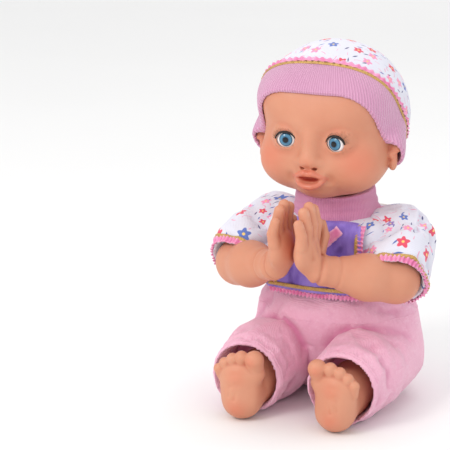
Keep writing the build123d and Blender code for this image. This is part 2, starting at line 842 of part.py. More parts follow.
for side, name in sides:
    with BuildPart() as arm_hub:
        with BuildSketch(Plane.XY.offset(hub_bottom)):
            with Locations((shoulder_x, 0)):
                Circle(6.0)
        extrude(amount=hub_window_top - 0.4 - hub_bottom)
        with BuildSketch(Plane.XY.offset(hub_window_bottom + 0.4)):
            with Locations((shoulder_x, 0)):
                Circle(shoulder_radius - 0.4)
        extrude(amount=hub_window_top - hub_window_bottom - 0.8)
        add(rod((shoulder_x, 0, shoulder_height), shoulder_reach, 7.4, shoulder_reach.length))
        add(
            rod(
                Vector(*shoulder_ball) - shoulder_reach.normalized() * 2.5,
                shoulder_reach,
                arm_radii[0] - arm_wall - 0.7,
                5.0,
            )
        )
        add(
            rod((shoulder_x, 0, hub_bottom - 1.0), (0, 0, 1), shaft_radius + 0.02, 40.0),
            mode=Mode.SUBTRACT,
        )
        if side < 0:
            mirror(about=Plane.YZ, mode=Mode.REPLACE)
    save(arm_hub.part, f"{name}_arm_hub")

    with BuildPart() as arm_shaft:
        add(
            rod(
                (side * shoulder_x, 0, shaft_bottom),
                (0, 0, 1),
                shaft_radius,
                shaft_top - shaft_bottom,
            )
        )
        chamfer(arm_shaft.edges().filter_by(GeomType.CIRCLE), 0.4)
    save(arm_shaft.part, f"{name}_arm_shaft")

    with BuildPart() as arm_skin:
        add(arm_solid)
        with BuildSketch(Plane.YZ.offset(hand_half_gap)):
            with Locations((hand_y, hand_z)):
                Ellipse(hand_width / 2, hand_length / 2)
        extrude(amount=hand_thickness)
        with BuildSketch(Plane.YZ.offset(hand_half_gap + 2.0)):
            with Locations((hand_y + hand_width / 2 - 3.0, hand_z - 2.0)):
                Ellipse(6.0, 13.0)
        extrude(amount=hand_thickness - 4.0)
        add(block((-30.0, -140.0, 60.0), (hand_half_gap, 0.0, 200.0)), mode=Mode.SUBTRACT)
        add(arm_hollow, mode=Mode.SUBTRACT)
        add(root_cut, mode=Mode.SUBTRACT)
        if side < 0:
            mirror(about=Plane.YZ, mode=Mode.REPLACE)
    save(arm_skin.part, f"{name}_arm_skin")

    sleeve_run = Vector(*sleeve_end) - Vector(*shoulder_ball)
    cuff_centre = Vector(*sleeve_end) + sleeve_run.normalized() * (sleeve_radius - 5.0)
    with BuildPart() as cuff_lace:
        add(rod(cuff_centre, sleeve_run, sleeve_radius - 2.5, 4.0))
        add(arm_clear, mode=Mode.SUBTRACT)
        split(bisect_by=front_side, keep=Keep.TOP)
        split(bisect_by=back_side, keep=Keep.TOP)
        if side < 0:
            mirror(about=Plane.YZ, mode=Mode.REPLACE)
    save(cuff_lace.part, f"{name}_cuff_lace")

    with BuildPart() as sleeve:
        add(limb((shoulder_ball, sleeve_end), (sleeve_radius, sleeve_radius - 0.5)))
        add(arm_clear, mode=Mode.SUBTRACT)
        add(root_cut, mode=Mode.SUBTRACT)
        add(belly_cut, mode=Mode.SUBTRACT)
        add(rod(cuff_centre, sleeve_run, 60.0, 60.0), mode=Mode.SUBTRACT)
        split(bisect_by=front_side, keep=Keep.TOP)
        split(bisect_by=back_side, keep=Keep.TOP)
        if side < 0:
            mirror(about=Plane.YZ, mode=Mode.REPLACE)
    save(sleeve.part, f"{name}_sleeve")

# ---------------------------------------------------------------- legs
trouser_hem = (hip[0], trouser_end, hip[2] + 0.2)
leg_solid = limb((hip, ankle), (leg_radius, ankle_radius))
leg_hollow = limb((hip, ankle), (leg_radius - leg_wall, ankle_radius - leg_wall))
leg_clear = limb((hip, ankle), (leg_radius + 0.3, ankle_radius + 0.3))
disc_x = hip[0] - leg_radius + leg_wall + 3.6
disc_thickness = 2.5
bar_radius = 4.0
bar_bore = rod((0, hip[1], hip[2]), (1, 0, 0), bar_radius + running_gap, hip[0])
cloth_bore = rod((0, hip[1], hip[2]), (1, 0, 0), bar_radius + body_gap, hip[0] - leg_radius + 1.0)

with BuildPart() as hip_bar:
    add(
        rod(
            (-disc_x - disc_thickness - 2.0, hip[1], hip[2]),
            (1, 0, 0),
            bar_radius,
            2 * (disc_x + disc_thickness + 2.0),
        )
    )
    chamfer(hip_bar.edges().filter_by(GeomType.CIRCLE), 0.6)
save(hip_bar.part, "hip_bar")

for side, name in sides:
    with BuildPart() as hip_disc:
        add(rod((disc_x, hip[1], hip[2]), (1, 0, 0), 9.0, disc_thickness))
        add(bar_bore, mode=Mode.SUBTRACT)
        if side < 0:
            mirror(about=Plane.YZ, mode=Mode.REPLACE)
    save(hip_disc.part, f"{name}_hip_disc")

    with BuildPart() as leg_skin:
        add(leg_solid)
        with BuildSketch(Plane.XZ.offset(-foot_sole)):
            with Locations((ankle[0], foot_height / 2)):
                Ellipse(foot_width / 2 - 3.0, foot_height / 2 - 2.0)
        with BuildSketch(Plane.XZ.offset(-foot_sole - 5.0)):
            with Locations((ankle[0], foot_height / 2)):
                Ellipse(foot_width / 2, foot_height / 2)
        with BuildSketch(Plane.XZ.offset(-foot_sole - foot_thickness)):
            with Locations((ankle[0], foot_height / 2 - 6.0)):
                Ellipse(foot_width / 2 - 3.0, foot_height / 2 - 6.0)
        loft(ruled=True)
        add(leg_hollow, mode=Mode.SUBTRACT)
        add(bar_bore, mode=Mode.SUBTRACT)
        if side < 0:
            mirror(about=Plane.YZ, mode=Mode.REPLACE)
    save(leg_skin.part, f"{name}_leg_skin")

    with BuildPart() as trouser_leg:
        add(limb((hip, trouser_hem), (trouser_radius, trouser_hem_radius)))
        split(bisect_by=Plane(origin=trouser_hem, z_dir=(0, 1, 0)), keep=Keep.TOP)
        add(leg_clear, mode=Mode.SUBTRACT)
        with BuildSketch(Plane(origin=trouser_hem, z_dir=(0, 1, 0))):
            Circle(trouser_hem_radius - 2.5)
        with BuildSketch(Plane(origin=trouser_hem, z_dir=(0, 1, 0)).offset(26.0)):
            Circle(leg_radius - 1.0)
        loft(mode=Mode.SUBTRACT)
        add(cloth_bore, mode=Mode.SUBTRACT)
        if side < 0:
            mirror(about=Plane.YZ, mode=Mode.REPLACE)
    save(trouser_leg.part, f"{name}_trouser_leg")


def leg_direction(turn):
    """Direction of a leg, turned down from sitting by an angle in degrees."""
    return Vector(0, -cos(radians(turn)), -sin(radians(turn)))


def leg_room():
    """The space that the left trouser leg passes through as it turns about the hip."""
    reach = 130.0
    radius = trouser_radius + body_gap
    top_turn = leg_raise + leg_raise_spare
    centre = Vector(*hip)
    with BuildPart() as room:
        with Locations(hip):
            Sphere(radius)
        for turn in (-top_turn, leg_lower):
            add(rod(hip, leg_direction(turn), radius + 0.4, reach))
        corners = [(hip[1], hip[2])]
        for turn in (-top_turn, (leg_lower - top_turn) / 2, leg_lower):
            tip = centre + leg_direction(turn) * reach
            corners.append((tip.Y, tip.Z))
        with BuildSketch(Plane.YZ.offset(hip[0] - radius)):
            with BuildLine():
                Polyline(corners, close=True)
            make_face()
        extrude(amount=2 * radius)
    return room.part


# ---------------------------------------------------------------- romper
leg_space = leg_room()
back_opening = block(
    (-pad_half_width - 0.6, 18.0, casing_bottom - 1.2),
    (pad_half_width + 0.6, 60.0, pad_top + 1.0),
)
trunk_lining = trunk_form(0.3)
with BuildPart() as romper_seat:
    for height, across, deep in (
        (0.0, 0.72, 0.84),
        (22.0, 0.97, 1.0),
        (52.0, 1.0, 1.0),
        (seat_top, 0.9, 0.96),
    ):
        with BuildSketch(Plane.XY.offset(height)):
            Ellipse(seat_half_width * across, seat_half_depth * deep)
    loft()
    add(trunk_lining, mode=Mode.SUBTRACT)
    add(leg_space, mode=Mode.SUBTRACT)
    add(leg_space.mirror(Plane.YZ), mode=Mode.SUBTRACT)
    add(back_opening, mode=Mode.SUBTRACT)
    add(
        rod((-hip[0], hip[1], hip[2]), (1, 0, 0), bar_radius + 0.02, 2 * hip[0]),
        mode=Mode.SUBTRACT,
    )
save(romper_seat.part, "romper_seat")

arm_limit = shoulder_x + cloth + 0.2
bodice_bottom = seat_top + 0.2
arm_holes = [
    rod((side * shoulder_x, 0, belly_top - 2.0), (0, 0, 1), shoulder_radius + 5.5, 60.0)
    for side, _ in sides
]
side_cuts = [
    block((arm_limit, -60.0, belly_top - 4.0), (90.0, 60.0, chest_top + 10.0)),
    block((-90.0, -60.0, belly_top - 4.0), (-arm_limit, 60.0, chest_top + 10.0)),
]


def cloth_layer(inner, outer, low, high):
    """A layer of cloth round the trunk, between two distances from the casing."""
    with BuildPart() as layer:
        add(trunk_form(outer))
        add(trunk_form(inner), mode=Mode.SUBTRACT)
        add(block((-90.0, -60.0, low), (90.0, 60.0, high)), mode=Mode.INTERSECT)
        for cut in side_cuts + arm_holes:
            add(cut, mode=Mode.SUBTRACT)
    return layer.part


with BuildPart() as romper_bodice:
    add(cloth_layer(0.3, 0.3 + cloth, bodice_bottom, chest_top))
    add(back_opening, mode=Mode.SUBTRACT)
    add(
        block((-11.0, 20.0, slider_height - 5.0), (11.0, 60.0, slider_height + 5.0)),
        mode=Mode.SUBTRACT,
    )
save(romper_bodice.part, "romper_bodice")

bib_layer = cloth_layer(cloth + 0.4, cloth + 1.6, seat_top + 4.0, chest_top - 1.0)
trim_layer = cloth_layer(cloth + 0.4, cloth + 3.2, seat_top + 4.0, chest_top - 1.0)
bib_half_width = 30.0
with BuildPart() as bib_panel:
    add(bib_layer)
    add(
        block((-bib_half_width, -60.0, seat_top + 8.2), (bib_half_width, -10.0, chest_top)),
        mode=Mode.INTERSECT,
    )
save(bib_panel.part, "bib_panel")

with BuildPart() as bib_lace:
    add(trim_layer)
    add(
        block((-bib_half_width, -60.0, seat_top + 3.0), (bib_half_width, -10.0, seat_top + 8.0)),
        mode=Mode.INTERSECT,
    )
save(bib_lace.part, "bib_lace")

for side, name in sides:
    with BuildPart() as shoulder_lace:
        add(trim_layer)
        add(
            block(
                (bib_half_width + 0.2, -60.0, seat_top + 8.2), (arm_limit, -10.0, chest_top)
            ),
            mode=Mode.INTERSECT,
        )
        if side < 0:
            mirror(about=Plane.YZ, mode=Mode.REPLACE)
    save(shoulder_lace.part, f"{name}_shoulder_lace")

with BuildPart() as collar:
    with BuildSketch(Plane.XY.offset(chest_top + 0.4)):
        Circle(neck_ring_radius + 13.0)
        Circle(neck_ring_radius + 1.0, mode=Mode.SUBTRACT)
    extrude(amount=15.0)
    fillet(collar.edges().group_by(Axis.Z)[-1], 1.8)
save(collar.part, "collar")

with BuildPart() as ribbon_loop:
    loop_plane = Plane(
        origin=(13.0, -chest_half_depth - cloth - 7.6, chest_top - 7.0), z_dir=(0.6, -0.2, 0.3)
    )
    with BuildSketch(loop_plane):
        Ellipse(5.5, 3.4)
        Ellipse(4.5, 2.4, mode=Mode.SUBTRACT)
    extrude(amount=2.0, both=True)
save(ribbon_loop.part, "ribbon_loop")

# ---------------------------------------------------------------- head
ear_height = 190.0
ear_y = -16.0
ear_radius = 8.5
ear_depth = 6.0
ear_turn = -0.25        # how far each ear faces forward
neck_opening = 15.0
face_front = -head_forward - head_radius
hat_edge = Plane(origin=(0, face_front + 8.0, hat_front_height), z_dir=(0, hat_slope, 1))
eye_y = -head_forward - (head_radius ** 2 - eye_half_spacing ** 2) ** 0.5 + eye_radius - 0.8
eyes_at = [(side * eye_half_spacing, eye_y, eye_height) for side, _ in sides]
cheek_spacing = 25.0    # distance of each cheek from the middle plane
nose = ((0, face_front + 2.0, eye_height - 14.0), 5.0)
mouth = ((0, face_front + 8.0, eye_height - 27.0), 10.5)
chin = ((0, face_front + 12.0, eye_height - 33.0), 11.0)
cheeks = [((side * cheek_spacing, face_front + 25.0, eye_height - 20.0), 20.0) for side, _ in sides]
features = [nose, mouth, chin] + cheeks

with BuildPart() as head_skin:
    add(head_form(0.0))
    for place, radius in features:
        with Locations(place):
            Sphere(radius)
    for side, _ in sides:
        ear_root = (side * (head_radius - 3.0), ear_y, ear_height)
        with Locations(Plane(origin=ear_root, z_dir=(side, ear_turn, 0))):
            Cylinder(ear_radius, ear_depth, align=(Align.CENTER, Align.CENTER, Align.MIN))
    add(head_form(-head_wall), mode=Mode.SUBTRACT)
    for place in eyes_at:
        with Locations(place):
            Sphere(eye_radius + seat_gap, mode=Mode.SUBTRACT)
    add(block((-90.0, -90.0, 90.0), (90.0, 90.0, head_bottom)), mode=Mode.SUBTRACT)
    with BuildSketch(Plane.XY.offset(head_bottom)):
        with Locations((0, -head_forward)):
            Circle(neck_opening + 8.0)
    extrude(amount=head_wall)
    with BuildSketch(Plane.XY.offset(head_bottom)):
        with Locations((0, -head_forward)):
            Circle(neck_opening)
    extrude(amount=3 * head_wall, mode=Mode.SUBTRACT)
save(head_skin.part, "head_skin")

for place, (side, name) in zip(eyes_at, sides):
    with BuildPart() as eye:
        with Locations(place):
            Sphere(eye_radius)
    save(eye.part, f"{name}_eye")

bracket_y = eye_y + 3.0
with BuildPart() as eye_bracket:
    add(block((-32.0, bracket_y, eye_height - 5.0), (32.0, bracket_y + 10.0, eye_height + 5.0)))
    for place in eyes_at:
        with Locations(place):
            Sphere(eye_radius + 0.1, mode=Mode.SUBTRACT)
save(eye_bracket.part, "eye_bracket")

with BuildPart() as neck_plug:
    with BuildSketch(Plane.XY.offset(chest_top - casing_wall * 2 - 1.2)):
        Circle(neck_bore + 3.0)
    extrude(amount=casing_wall + 0.6)
    with BuildSketch(Plane.XY.offset(chest_top - casing_wall * 2 - 1.2)):
        Circle(neck_bore)
    extrude(amount=neck_ring_top - chest_top + casing_wall * 2 + 1.2 + 0.5)
    with BuildSketch(Plane.XY.offset(neck_ring_top + 0.5)):
        Circle(neck_ring_radius)
    extrude(amount=2.0)
    with BuildSketch(Plane.XY.offset(neck_ring_top + 2.5)):
        Circle(neck_opening - head_forward - 1.0)
    extrude(amount=head_bottom + head_wall - neck_ring_top)
    with BuildSketch(Plane.XY.offset(head_bottom - 2.0)):
        with Locations((0, -head_forward)):
            Circle(neck_opening - seat_gap)
    extrude(amount=head_wall + 2.0 + seat_gap)
    with BuildSketch(Plane.XY.offset(head_bottom + head_wall + seat_gap)):
        with Locations((0, -head_forward)):
            Circle(neck_opening + 3.0)
    extrude(amount=2.5)
save(neck_plug.part, "neck_plug")

# ---------------------------------------------------------------- hat
hat_seam = hat_edge.offset(hat_band_width)
ears_clear = [
    rod(
        (side * (head_radius - 4.0), ear_y, ear_height),
        (side, ear_turn, 0),
        ear_radius + 0.5,
        ear_depth + 2.0,
    )
    for side, _ in sides
]


def hat_layer(inner, outer, low_plane, high_plane):
    """A layer of the hat between two distances from the head and between two sloping planes."""
    with BuildPart() as layer:
        add(head_form(outer))
        add(head_form(inner), mode=Mode.SUBTRACT)
        split(bisect_by=low_plane, keep=Keep.TOP)
        if high_plane:
            split(bisect_by=high_plane, keep=Keep.BOTTOM)
        add(block((-90.0, -90.0, 90.0), (90.0, 90.0, hat_bottom)), mode=Mode.SUBTRACT)
        for ear in ears_clear:
            add(ear, mode=Mode.SUBTRACT)
    return layer.part


hat_outer = 0.4 + hat_cloth
with BuildPart() as hat_band:
    add(hat_layer(0.4, hat_outer, hat_edge, hat_seam))
save(hat_band.part, "hat_band")

with BuildPart() as hat_crown:
    add(hat_layer(0.4, hat_outer, hat_seam.offset(0.1), None))
save(hat_crown.part, "hat_crown")

with BuildPart() as hat_lace:
    add(hat_layer(hat_outer + 0.1, hat_outer + 1.8, hat_seam.offset(-4.0), hat_seam.offset(4.0)))
save(hat_lace.part, "hat_lace")
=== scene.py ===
import json
import math

import bmesh
import bpy
import numpy as np
from mathutils import Matrix, Vector
from mathutils.bvhtree import BVHTree


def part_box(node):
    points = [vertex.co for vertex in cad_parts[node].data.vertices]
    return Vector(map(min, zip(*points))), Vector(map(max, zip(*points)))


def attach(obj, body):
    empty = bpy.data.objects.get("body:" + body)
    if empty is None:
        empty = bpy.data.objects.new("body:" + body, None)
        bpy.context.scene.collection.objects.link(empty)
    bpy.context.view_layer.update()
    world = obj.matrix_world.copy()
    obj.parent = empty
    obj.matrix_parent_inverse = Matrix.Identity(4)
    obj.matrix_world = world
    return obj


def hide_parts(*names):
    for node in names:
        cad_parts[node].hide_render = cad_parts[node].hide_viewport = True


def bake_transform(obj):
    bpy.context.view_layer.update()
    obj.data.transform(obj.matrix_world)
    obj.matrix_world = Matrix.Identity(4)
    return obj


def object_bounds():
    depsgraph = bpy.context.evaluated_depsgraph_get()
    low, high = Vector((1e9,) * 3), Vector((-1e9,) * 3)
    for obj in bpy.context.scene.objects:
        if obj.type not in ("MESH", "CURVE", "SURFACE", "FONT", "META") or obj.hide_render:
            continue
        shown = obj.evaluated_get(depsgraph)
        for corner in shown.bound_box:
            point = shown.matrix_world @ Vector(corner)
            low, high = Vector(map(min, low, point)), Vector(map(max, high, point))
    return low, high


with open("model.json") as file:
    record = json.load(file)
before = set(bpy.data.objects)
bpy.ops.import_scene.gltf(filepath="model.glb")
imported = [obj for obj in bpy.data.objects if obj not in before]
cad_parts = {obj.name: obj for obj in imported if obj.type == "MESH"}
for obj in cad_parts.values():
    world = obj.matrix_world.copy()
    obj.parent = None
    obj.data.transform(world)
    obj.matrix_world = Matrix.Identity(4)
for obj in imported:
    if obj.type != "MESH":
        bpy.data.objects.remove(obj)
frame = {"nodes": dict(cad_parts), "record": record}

MM = 0.001
CAD_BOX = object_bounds()
SIDES = ((-1, "right"), (1, "left"))


# ---------------------------------------------------------------- camera and studio
def aim(thing, target):
    """Turn a camera or lamp towards a point."""
    direction = Vector(target) - thing.location
    thing.rotation_euler = direction.to_track_quat("-Z", "Y").to_euler()


def make_camera():
    data = bpy.data.cameras.new("camera")
    camera = bpy.data.objects.new("camera", data)
    bpy.context.scene.collection.objects.link(camera)
    azimuth = math.radians(22.0)
    elevation = math.radians(15.5)
    distance = 1.50
    target = Vector((0.006, -0.030, 0.130))
    away = Vector(
        (
            math.sin(azimuth) * math.cos(elevation),
            -math.cos(azimuth) * math.cos(elevation),
            math.sin(elevation),
        )
    )
    camera.location = target + away * distance
    aim(camera, target)
    data.lens = 166.0
    data.sensor_width = 36.0
    data.shift_x = -0.232
    data.shift_y = 0.006
    bpy.context.scene.camera = camera


def make_lamp(name, place, target, energy, size, colour):
    data = bpy.data.lights.new(name, "AREA")
    data.energy = energy
    data.shape = "DISK"
    data.size = size
    data.color = colour
    lamp = bpy.data.objects.new(name, data)
    bpy.context.scene.collection.objects.link(lamp)
    lamp.location = place
    aim(lamp, target)


def make_studio():
    middle = (0.0, -0.03, 0.13)
    make_lamp("key_light", (-0.55, -1.15, 1.05), middle, 8.0, 0.6, (1.0, 0.97, 0.94))
    make_lamp("fill_light", (1.1, -0.9, 0.6), middle, 1.5, 0.9, (0.95, 0.97, 1.0))
    make_lamp("top_light", (0.1, 0.5, 1.3), middle, 2.5, 0.8, (1.0, 1.0, 1.0))
    world = bpy.data.worlds.new("soft_white")
    world.use_nodes = True
    background = world.node_tree.nodes["Background"]
    background.inputs["Color"].default_value = (1.0, 1.0, 1.0, 1.0)
    background.inputs["Strength"].default_value = 0.95
    bpy.context.scene.world = world
    bpy.context.scene.view_settings.view_transform = "Standard"


make_camera()
make_studio()


# ---------------------------------------------------------------- sizes from the frame, in millimetres
def span(node):
    """Lowest and highest corner of a CAD node."""
    low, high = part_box(node)
    return np.array(low) / MM, np.array(high) / MM


def middle_of(node):
    low, high = span(node)
    return (low + high) / 2


def joint_place(name):
    for joint in frame["record"]["behaviour"]["joints"]:
        if joint["name"] == name:
            return np.array(joint["pos_m"]) / MM
    raise KeyError(name)


EYE = middle_of("left_eye")
EYE_RADIUS = (span("left_eye")[1] - span("left_eye")[0])[0] / 2
CROWN_LOW, CROWN_HIGH = span("hat_crown")
CAP_THICKNESS = 3.0
HEAD_TOP = CROWN_HIGH[2] - CAP_THICKNESS
HEAD_RADIUS = CROWN_HIGH[0] - CAP_THICKNESS
HEAD_CENTRE = np.array((0.0, EYE[1] + 38.0, HEAD_TOP - 55.0))
SHOULDER = joint_place("left_arm_clap")
HIP = joint_place("left_hip")


# ---------------------------------------------------------------- sculpting in a field of distances
class Clay:
    """A block of modelling clay: a grid of signed distances, worked with rounded shapes."""

    def __init__(self, low, high, step):
        low = np.array(low, dtype=np.float32)
        high = np.array(high, dtype=np.float32)
        counts = np.ceil((high - low) / step).astype(int) + 1
        axes = [low[i] + step * np.arange(counts[i], dtype=np.float32) for i in range(3)]
        self.low = low
        self.step = step
        self.grid = np.meshgrid(*axes, indexing="ij", sparse=True)
        self.field = np.full(tuple(counts), 1e3, dtype=np.float32)

    def turned(self, centre, turn):
        """Coordinates about a centre, turned by a 3 by 3 matrix if one is given."""
        x, y, z = (self.grid[i] - np.float32(centre[i]) for i in range(3))
        if turn is None:
            return x, y, z
        m = np.array(turn, dtype=np.float32)
        return tuple(m[0][i] * x + m[1][i] * y + m[2][i] * z for i in range(3))

    def egg(self, centre, radii, turn=None):
        x, y, z = self.turned(centre, turn)
        a, b, c = (np.float32(r) for r in radii)
        near = np.sqrt((x / a) ** 2 + (y / b) ** 2 + (z / c) ** 2) + 1e-6
        slope = np.sqrt((x / a**2) ** 2 + (y / b**2) ** 2 + (z / c**2) ** 2) + 1e-6
        return near * (near - 1) / slope

    def finger(self, start, end, first, last):
        """A rounded rod that may taper."""
        start = np.array(start, dtype=np.float32)
        run = np.array(end, dtype=np.float32) - start
        x, y, z = (self.grid[i] - start[i] for i in range(3))
        along = (x * run[0] + y * run[1] + z * run[2]) / np.float32(run @ run)
        along = np.clip(along, 0, 1)
        apart = np.sqrt(
            (x - along * run[0]) ** 2 + (y - along * run[1]) ** 2 + (z - along * run[2]) ** 2
        )
        return apart - (first + (last - first) * along)

    def add(self, shape, blend=0.0):
        if blend <= 0:
            self.field = np.minimum(self.field, shape)
            return
        mix = np.clip(0.5 + 0.5 * (self.field - shape) / blend, 0, 1)
        self.field = self.field * (1 - mix) + shape * mix - blend * mix * (1 - mix)

    def cut(self, shape, blend=0.0):
        if blend <= 0:
            self.trim(-shape)
            return
        mix = np.clip(0.5 - 0.5 * (self.field + shape) / blend, 0, 1)
        self.field = self.field * (1 - mix) - shape * mix + blend * mix * (1 - mix)

    def trim(self, outside):
        """Keep only the clay where the given value is under zero."""
        self.field = np.maximum(self.field, outside)

    def press(self, shape, depth, soft):
        """Push the surface in (or out, with a negative depth) near a shape."""
        self.field = self.field + depth * np.exp(-np.maximum(shape, 0) ** 2 / soft**2)

    def skin(self):
        """Points and four-cornered faces of the surface, by surface nets."""
        f = self.field
        cells = tuple(n - 1 for n in f.shape)
        total = np.zeros(cells + (3,), dtype=np.float32)
        count = np.zeros(cells, dtype=np.float32)
        crossings = []
        for axis in range(3):
            a = np.take(f, range(f.shape[axis] - 1), axis=axis)
            b = np.take(f, range(1, f.shape[axis]), axis=axis)
            crossed = np.argwhere((a < 0) != (b < 0))
            key = tuple(crossed.T)
            share = a[key] / (a[key] - b[key])
            place = crossed.astype(np.float32)
            place[:, axis] += share
            others = [i for i in range(3) if i != axis]
            around = []
            for shift in ((0, 0), (-1, 0), (-1, -1), (0, -1)):
                cell = crossed.copy()
                cell[:, others[0]] += shift[0]
                cell[:, others[1]] += shift[1]
                around.append(cell)
            fits = np.all([np.all((c >= 0) & (c < cells), axis=1) for c in around], axis=0)
            around = [c[fits] for c in around]
            for cell in around:
                np.add.at(total, tuple(cell.T), place[fits])
                np.add.at(count, tuple(cell.T), 1)
            crossings.append((axis, around, (a[key] < 0)[fits]))
        number = np.full(cells, -1, dtype=np.int64)
        used = count > 0
        number[used] = np.arange(int(used.sum()))
        points = self.low + self.step * total[used] / count[used][:, None]
        faces = []
        for axis, around, inside in crossings:
            quad = np.stack([number[tuple(c.T)] for c in around], axis=1)
            flip = inside if axis == 1 else ~inside
            quad[flip] = quad[flip][:, ::-1]
            faces.append(quad)
        return points, np.concatenate(faces)


def add_piece(name, mesh):
    """A new smooth-shaded object in the scene."""
    mesh.polygons.foreach_set("use_smooth", [True] * len(mesh.polygons))
    piece = bpy.data.objects.new(name, mesh)
    bpy.context.scene.collection.objects.link(piece)
    return piece


def make_mesh(name, points, faces):
    """An object from points in millimetres and faces."""
    mesh = bpy.data.meshes.new(name)
    points = np.asarray(points, dtype=np.float64) * MM
    mesh.from_pydata(points.tolist(), [], [list(map(int, face)) for face in faces])
    mesh.validate()
    mesh.update()
    return add_piece(name, mesh)


def relax(piece, rounds, factor=0.5):
    """Even out a mesh with a smoothing modifier, and apply it."""
    smoother = piece.modifiers.new("relax", "SMOOTH")
    smoother.iterations = rounds
    smoother.factor = factor
    apply_modifiers(piece)


def apply_modifiers(piece):
    graph = bpy.context.evaluated_depsgraph_get()
    mesh = bpy.data.meshes.new_from_object(piece.evaluated_get(graph))
    old = piece.data
    piece.modifiers.clear()
    piece.data = mesh
    bpy.data.meshes.remove(old)


def shell_of(clay, name, rounds, side=1):
    """The surface of the clay as a relaxed object, mirrored for the right side."""
    points, faces = clay.skin()
    if side < 0:
        points[:, 0] *= -1
        faces = faces[:, ::-1]
    piece = make_mesh(name, points, faces)
    relax(piece, rounds)
    return piece


def unit(vector):
    return vector / np.linalg.norm(vector)


def units(rows):
    """Each row as a direction of length 1."""
    return rows / np.linalg.norm(rows, axis=1, keepdims=True)


def turn_about(axis, degrees):
    return np.array(Matrix.Rotation(math.radians(degrees), 3, axis))


# ---------------------------------------------------------------- head
def near_shape(points):
    """A clay whose shapes are measured only at the given points."""
    spots = Clay.__new__(Clay)
    spots.grid = tuple(np.ascontiguousarray(points[:, axis]) for axis in range(3))
    return spots


def union(first, second, blend):
    """Smooth union of two distance fields."""
    mix = np.clip(0.5 + 0.5 * (second - first) / blend, 0, 1)
    return second * (1 - mix) + first * mix - blend * mix * (1 - mix)


def skull(clay, grow=0.0):
    """The round of the head and its two temples, as a distance."""
    _, cy, cz = HEAD_CENTRE
    radii = np.array((51.0, 51.5, 49.5)) + grow
    field = clay.egg((0, cy + 1.0, cz + 5.0), radii)
    for side in (-1, 1):
        temple = np.array((20.0, 22.0, 18.0)) + grow
        field = union(field, clay.egg((side * 24.0, cy - 22.0, cz + 20.0), temple), 14.0)
    return field


LIP_Y = HEAD_CENTRE[1] - 52.2
MOUTH_Z = HEAD_CENTRE[2] - 33.0
UPPER_LIP = (
    (-13.2, 4.7, -0.2, 0.7),
    (-7.6, 1.5, 1.6, 1.7),
    (-2.9, -0.4, 3.7, 2.4),
    (0.0, 0.0, 2.9, 2.3),
    (2.9, -0.4, 3.7, 2.4),
    (7.6, 1.5, 1.6, 1.7),
    (13.2, 4.7, -0.2, 0.7),
)
LOWER_LIP = (
    (-11.0, 3.6, -1.6, 0.8),
    (-7.0, 1.5, -4.8, 1.9),
    (-2.4, 0.5, -6.4, 2.7),
    (2.4, 0.5, -6.4, 2.7),
    (7.0, 1.5, -4.8, 1.9),
    (11.0, 3.6, -1.6, 0.8),
)


def lip(clay, line):
    """One lip, along a line of points with a radius at each."""
    field = None
    for first, second in zip(line, line[1:]):
        start = (first[0], LIP_Y + first[1], MOUTH_Z + first[2])
        end = (second[0], LIP_Y + second[1], MOUTH_Z + second[2])
        piece = clay.finger(start, end, first[3], second[3])
        field = piece if field is None else np.minimum(field, piece)
    return field


def mouth_opening(clay):
    return clay.egg((0, LIP_Y + 0.2, MOUTH_Z - 0.7), (7.6, 4.8, 1.8))


def ear_place(side):
    _, cy, cz = HEAD_CENTRE
    tilt = turn_about("Z", side * 30.0) @ turn_about("X", -8.0)
    return np.array((side * 48.6, cy - 10.0, cz - 18.0)), tilt


def sculpt_ear(clay, side):
    """An ear with a rolled rim, a hollow inside it and a lobe."""
    place, tilt = ear_place(side)
    clay.add(clay.egg(place, (3.2, 7.6, 11.0), tilt), 2.5)
    rim = None
    steps = 9
    for step in range(steps):
        turns = [math.radians(-70 + 250 * (step + more) / steps) for more in (0, 1)]
        ends = []
        for turn in turns:
            local = Vector((side * 2.4, 7.2 * math.cos(turn), 1.6 + 9.2 * math.sin(turn)))
            ends.append(place + np.array(tilt @ local))
        piece = clay.finger(ends[0], ends[1], 1.9, 1.9)
        rim = piece if rim is None else np.minimum(rim, piece)
    clay.add(rim, 1.6)
    hollow = place + np.array(tilt @ Vector((side * 4.6, -0.6, 2.0)))
    clay.cut(clay.egg(hollow, (2.4, 3.9, 6.8), tilt), 2.4)
    clay.add(clay.egg(place + (side * 1.2, -4.0, -8.6), (2.9, 3.9, 4.4), tilt), 2.0)
    clay.add(clay.egg(place + (side * 1.0, -6.6, -1.0), (1.8, 2.0, 2.8), tilt), 1.6)


NOSE_DROP = 14.5
EYE_GAP = (0.62 * EYE_RADIUS, 0.49 * EYE_RADIUS)
EYE_GAP_SHIFT = -1.0


def eye_gap(clay, side):
    """The opening between the lids of one eye."""
    eye_x, eye_y, eye_z = EYE
    centre = (side * (eye_x + EYE_GAP_SHIFT), eye_y - EYE_RADIUS, eye_z - 0.3)
    return clay.egg(centre, (EYE_GAP[0], 12.0, EYE_GAP[1]), turn_about("Y", side * 4.0))


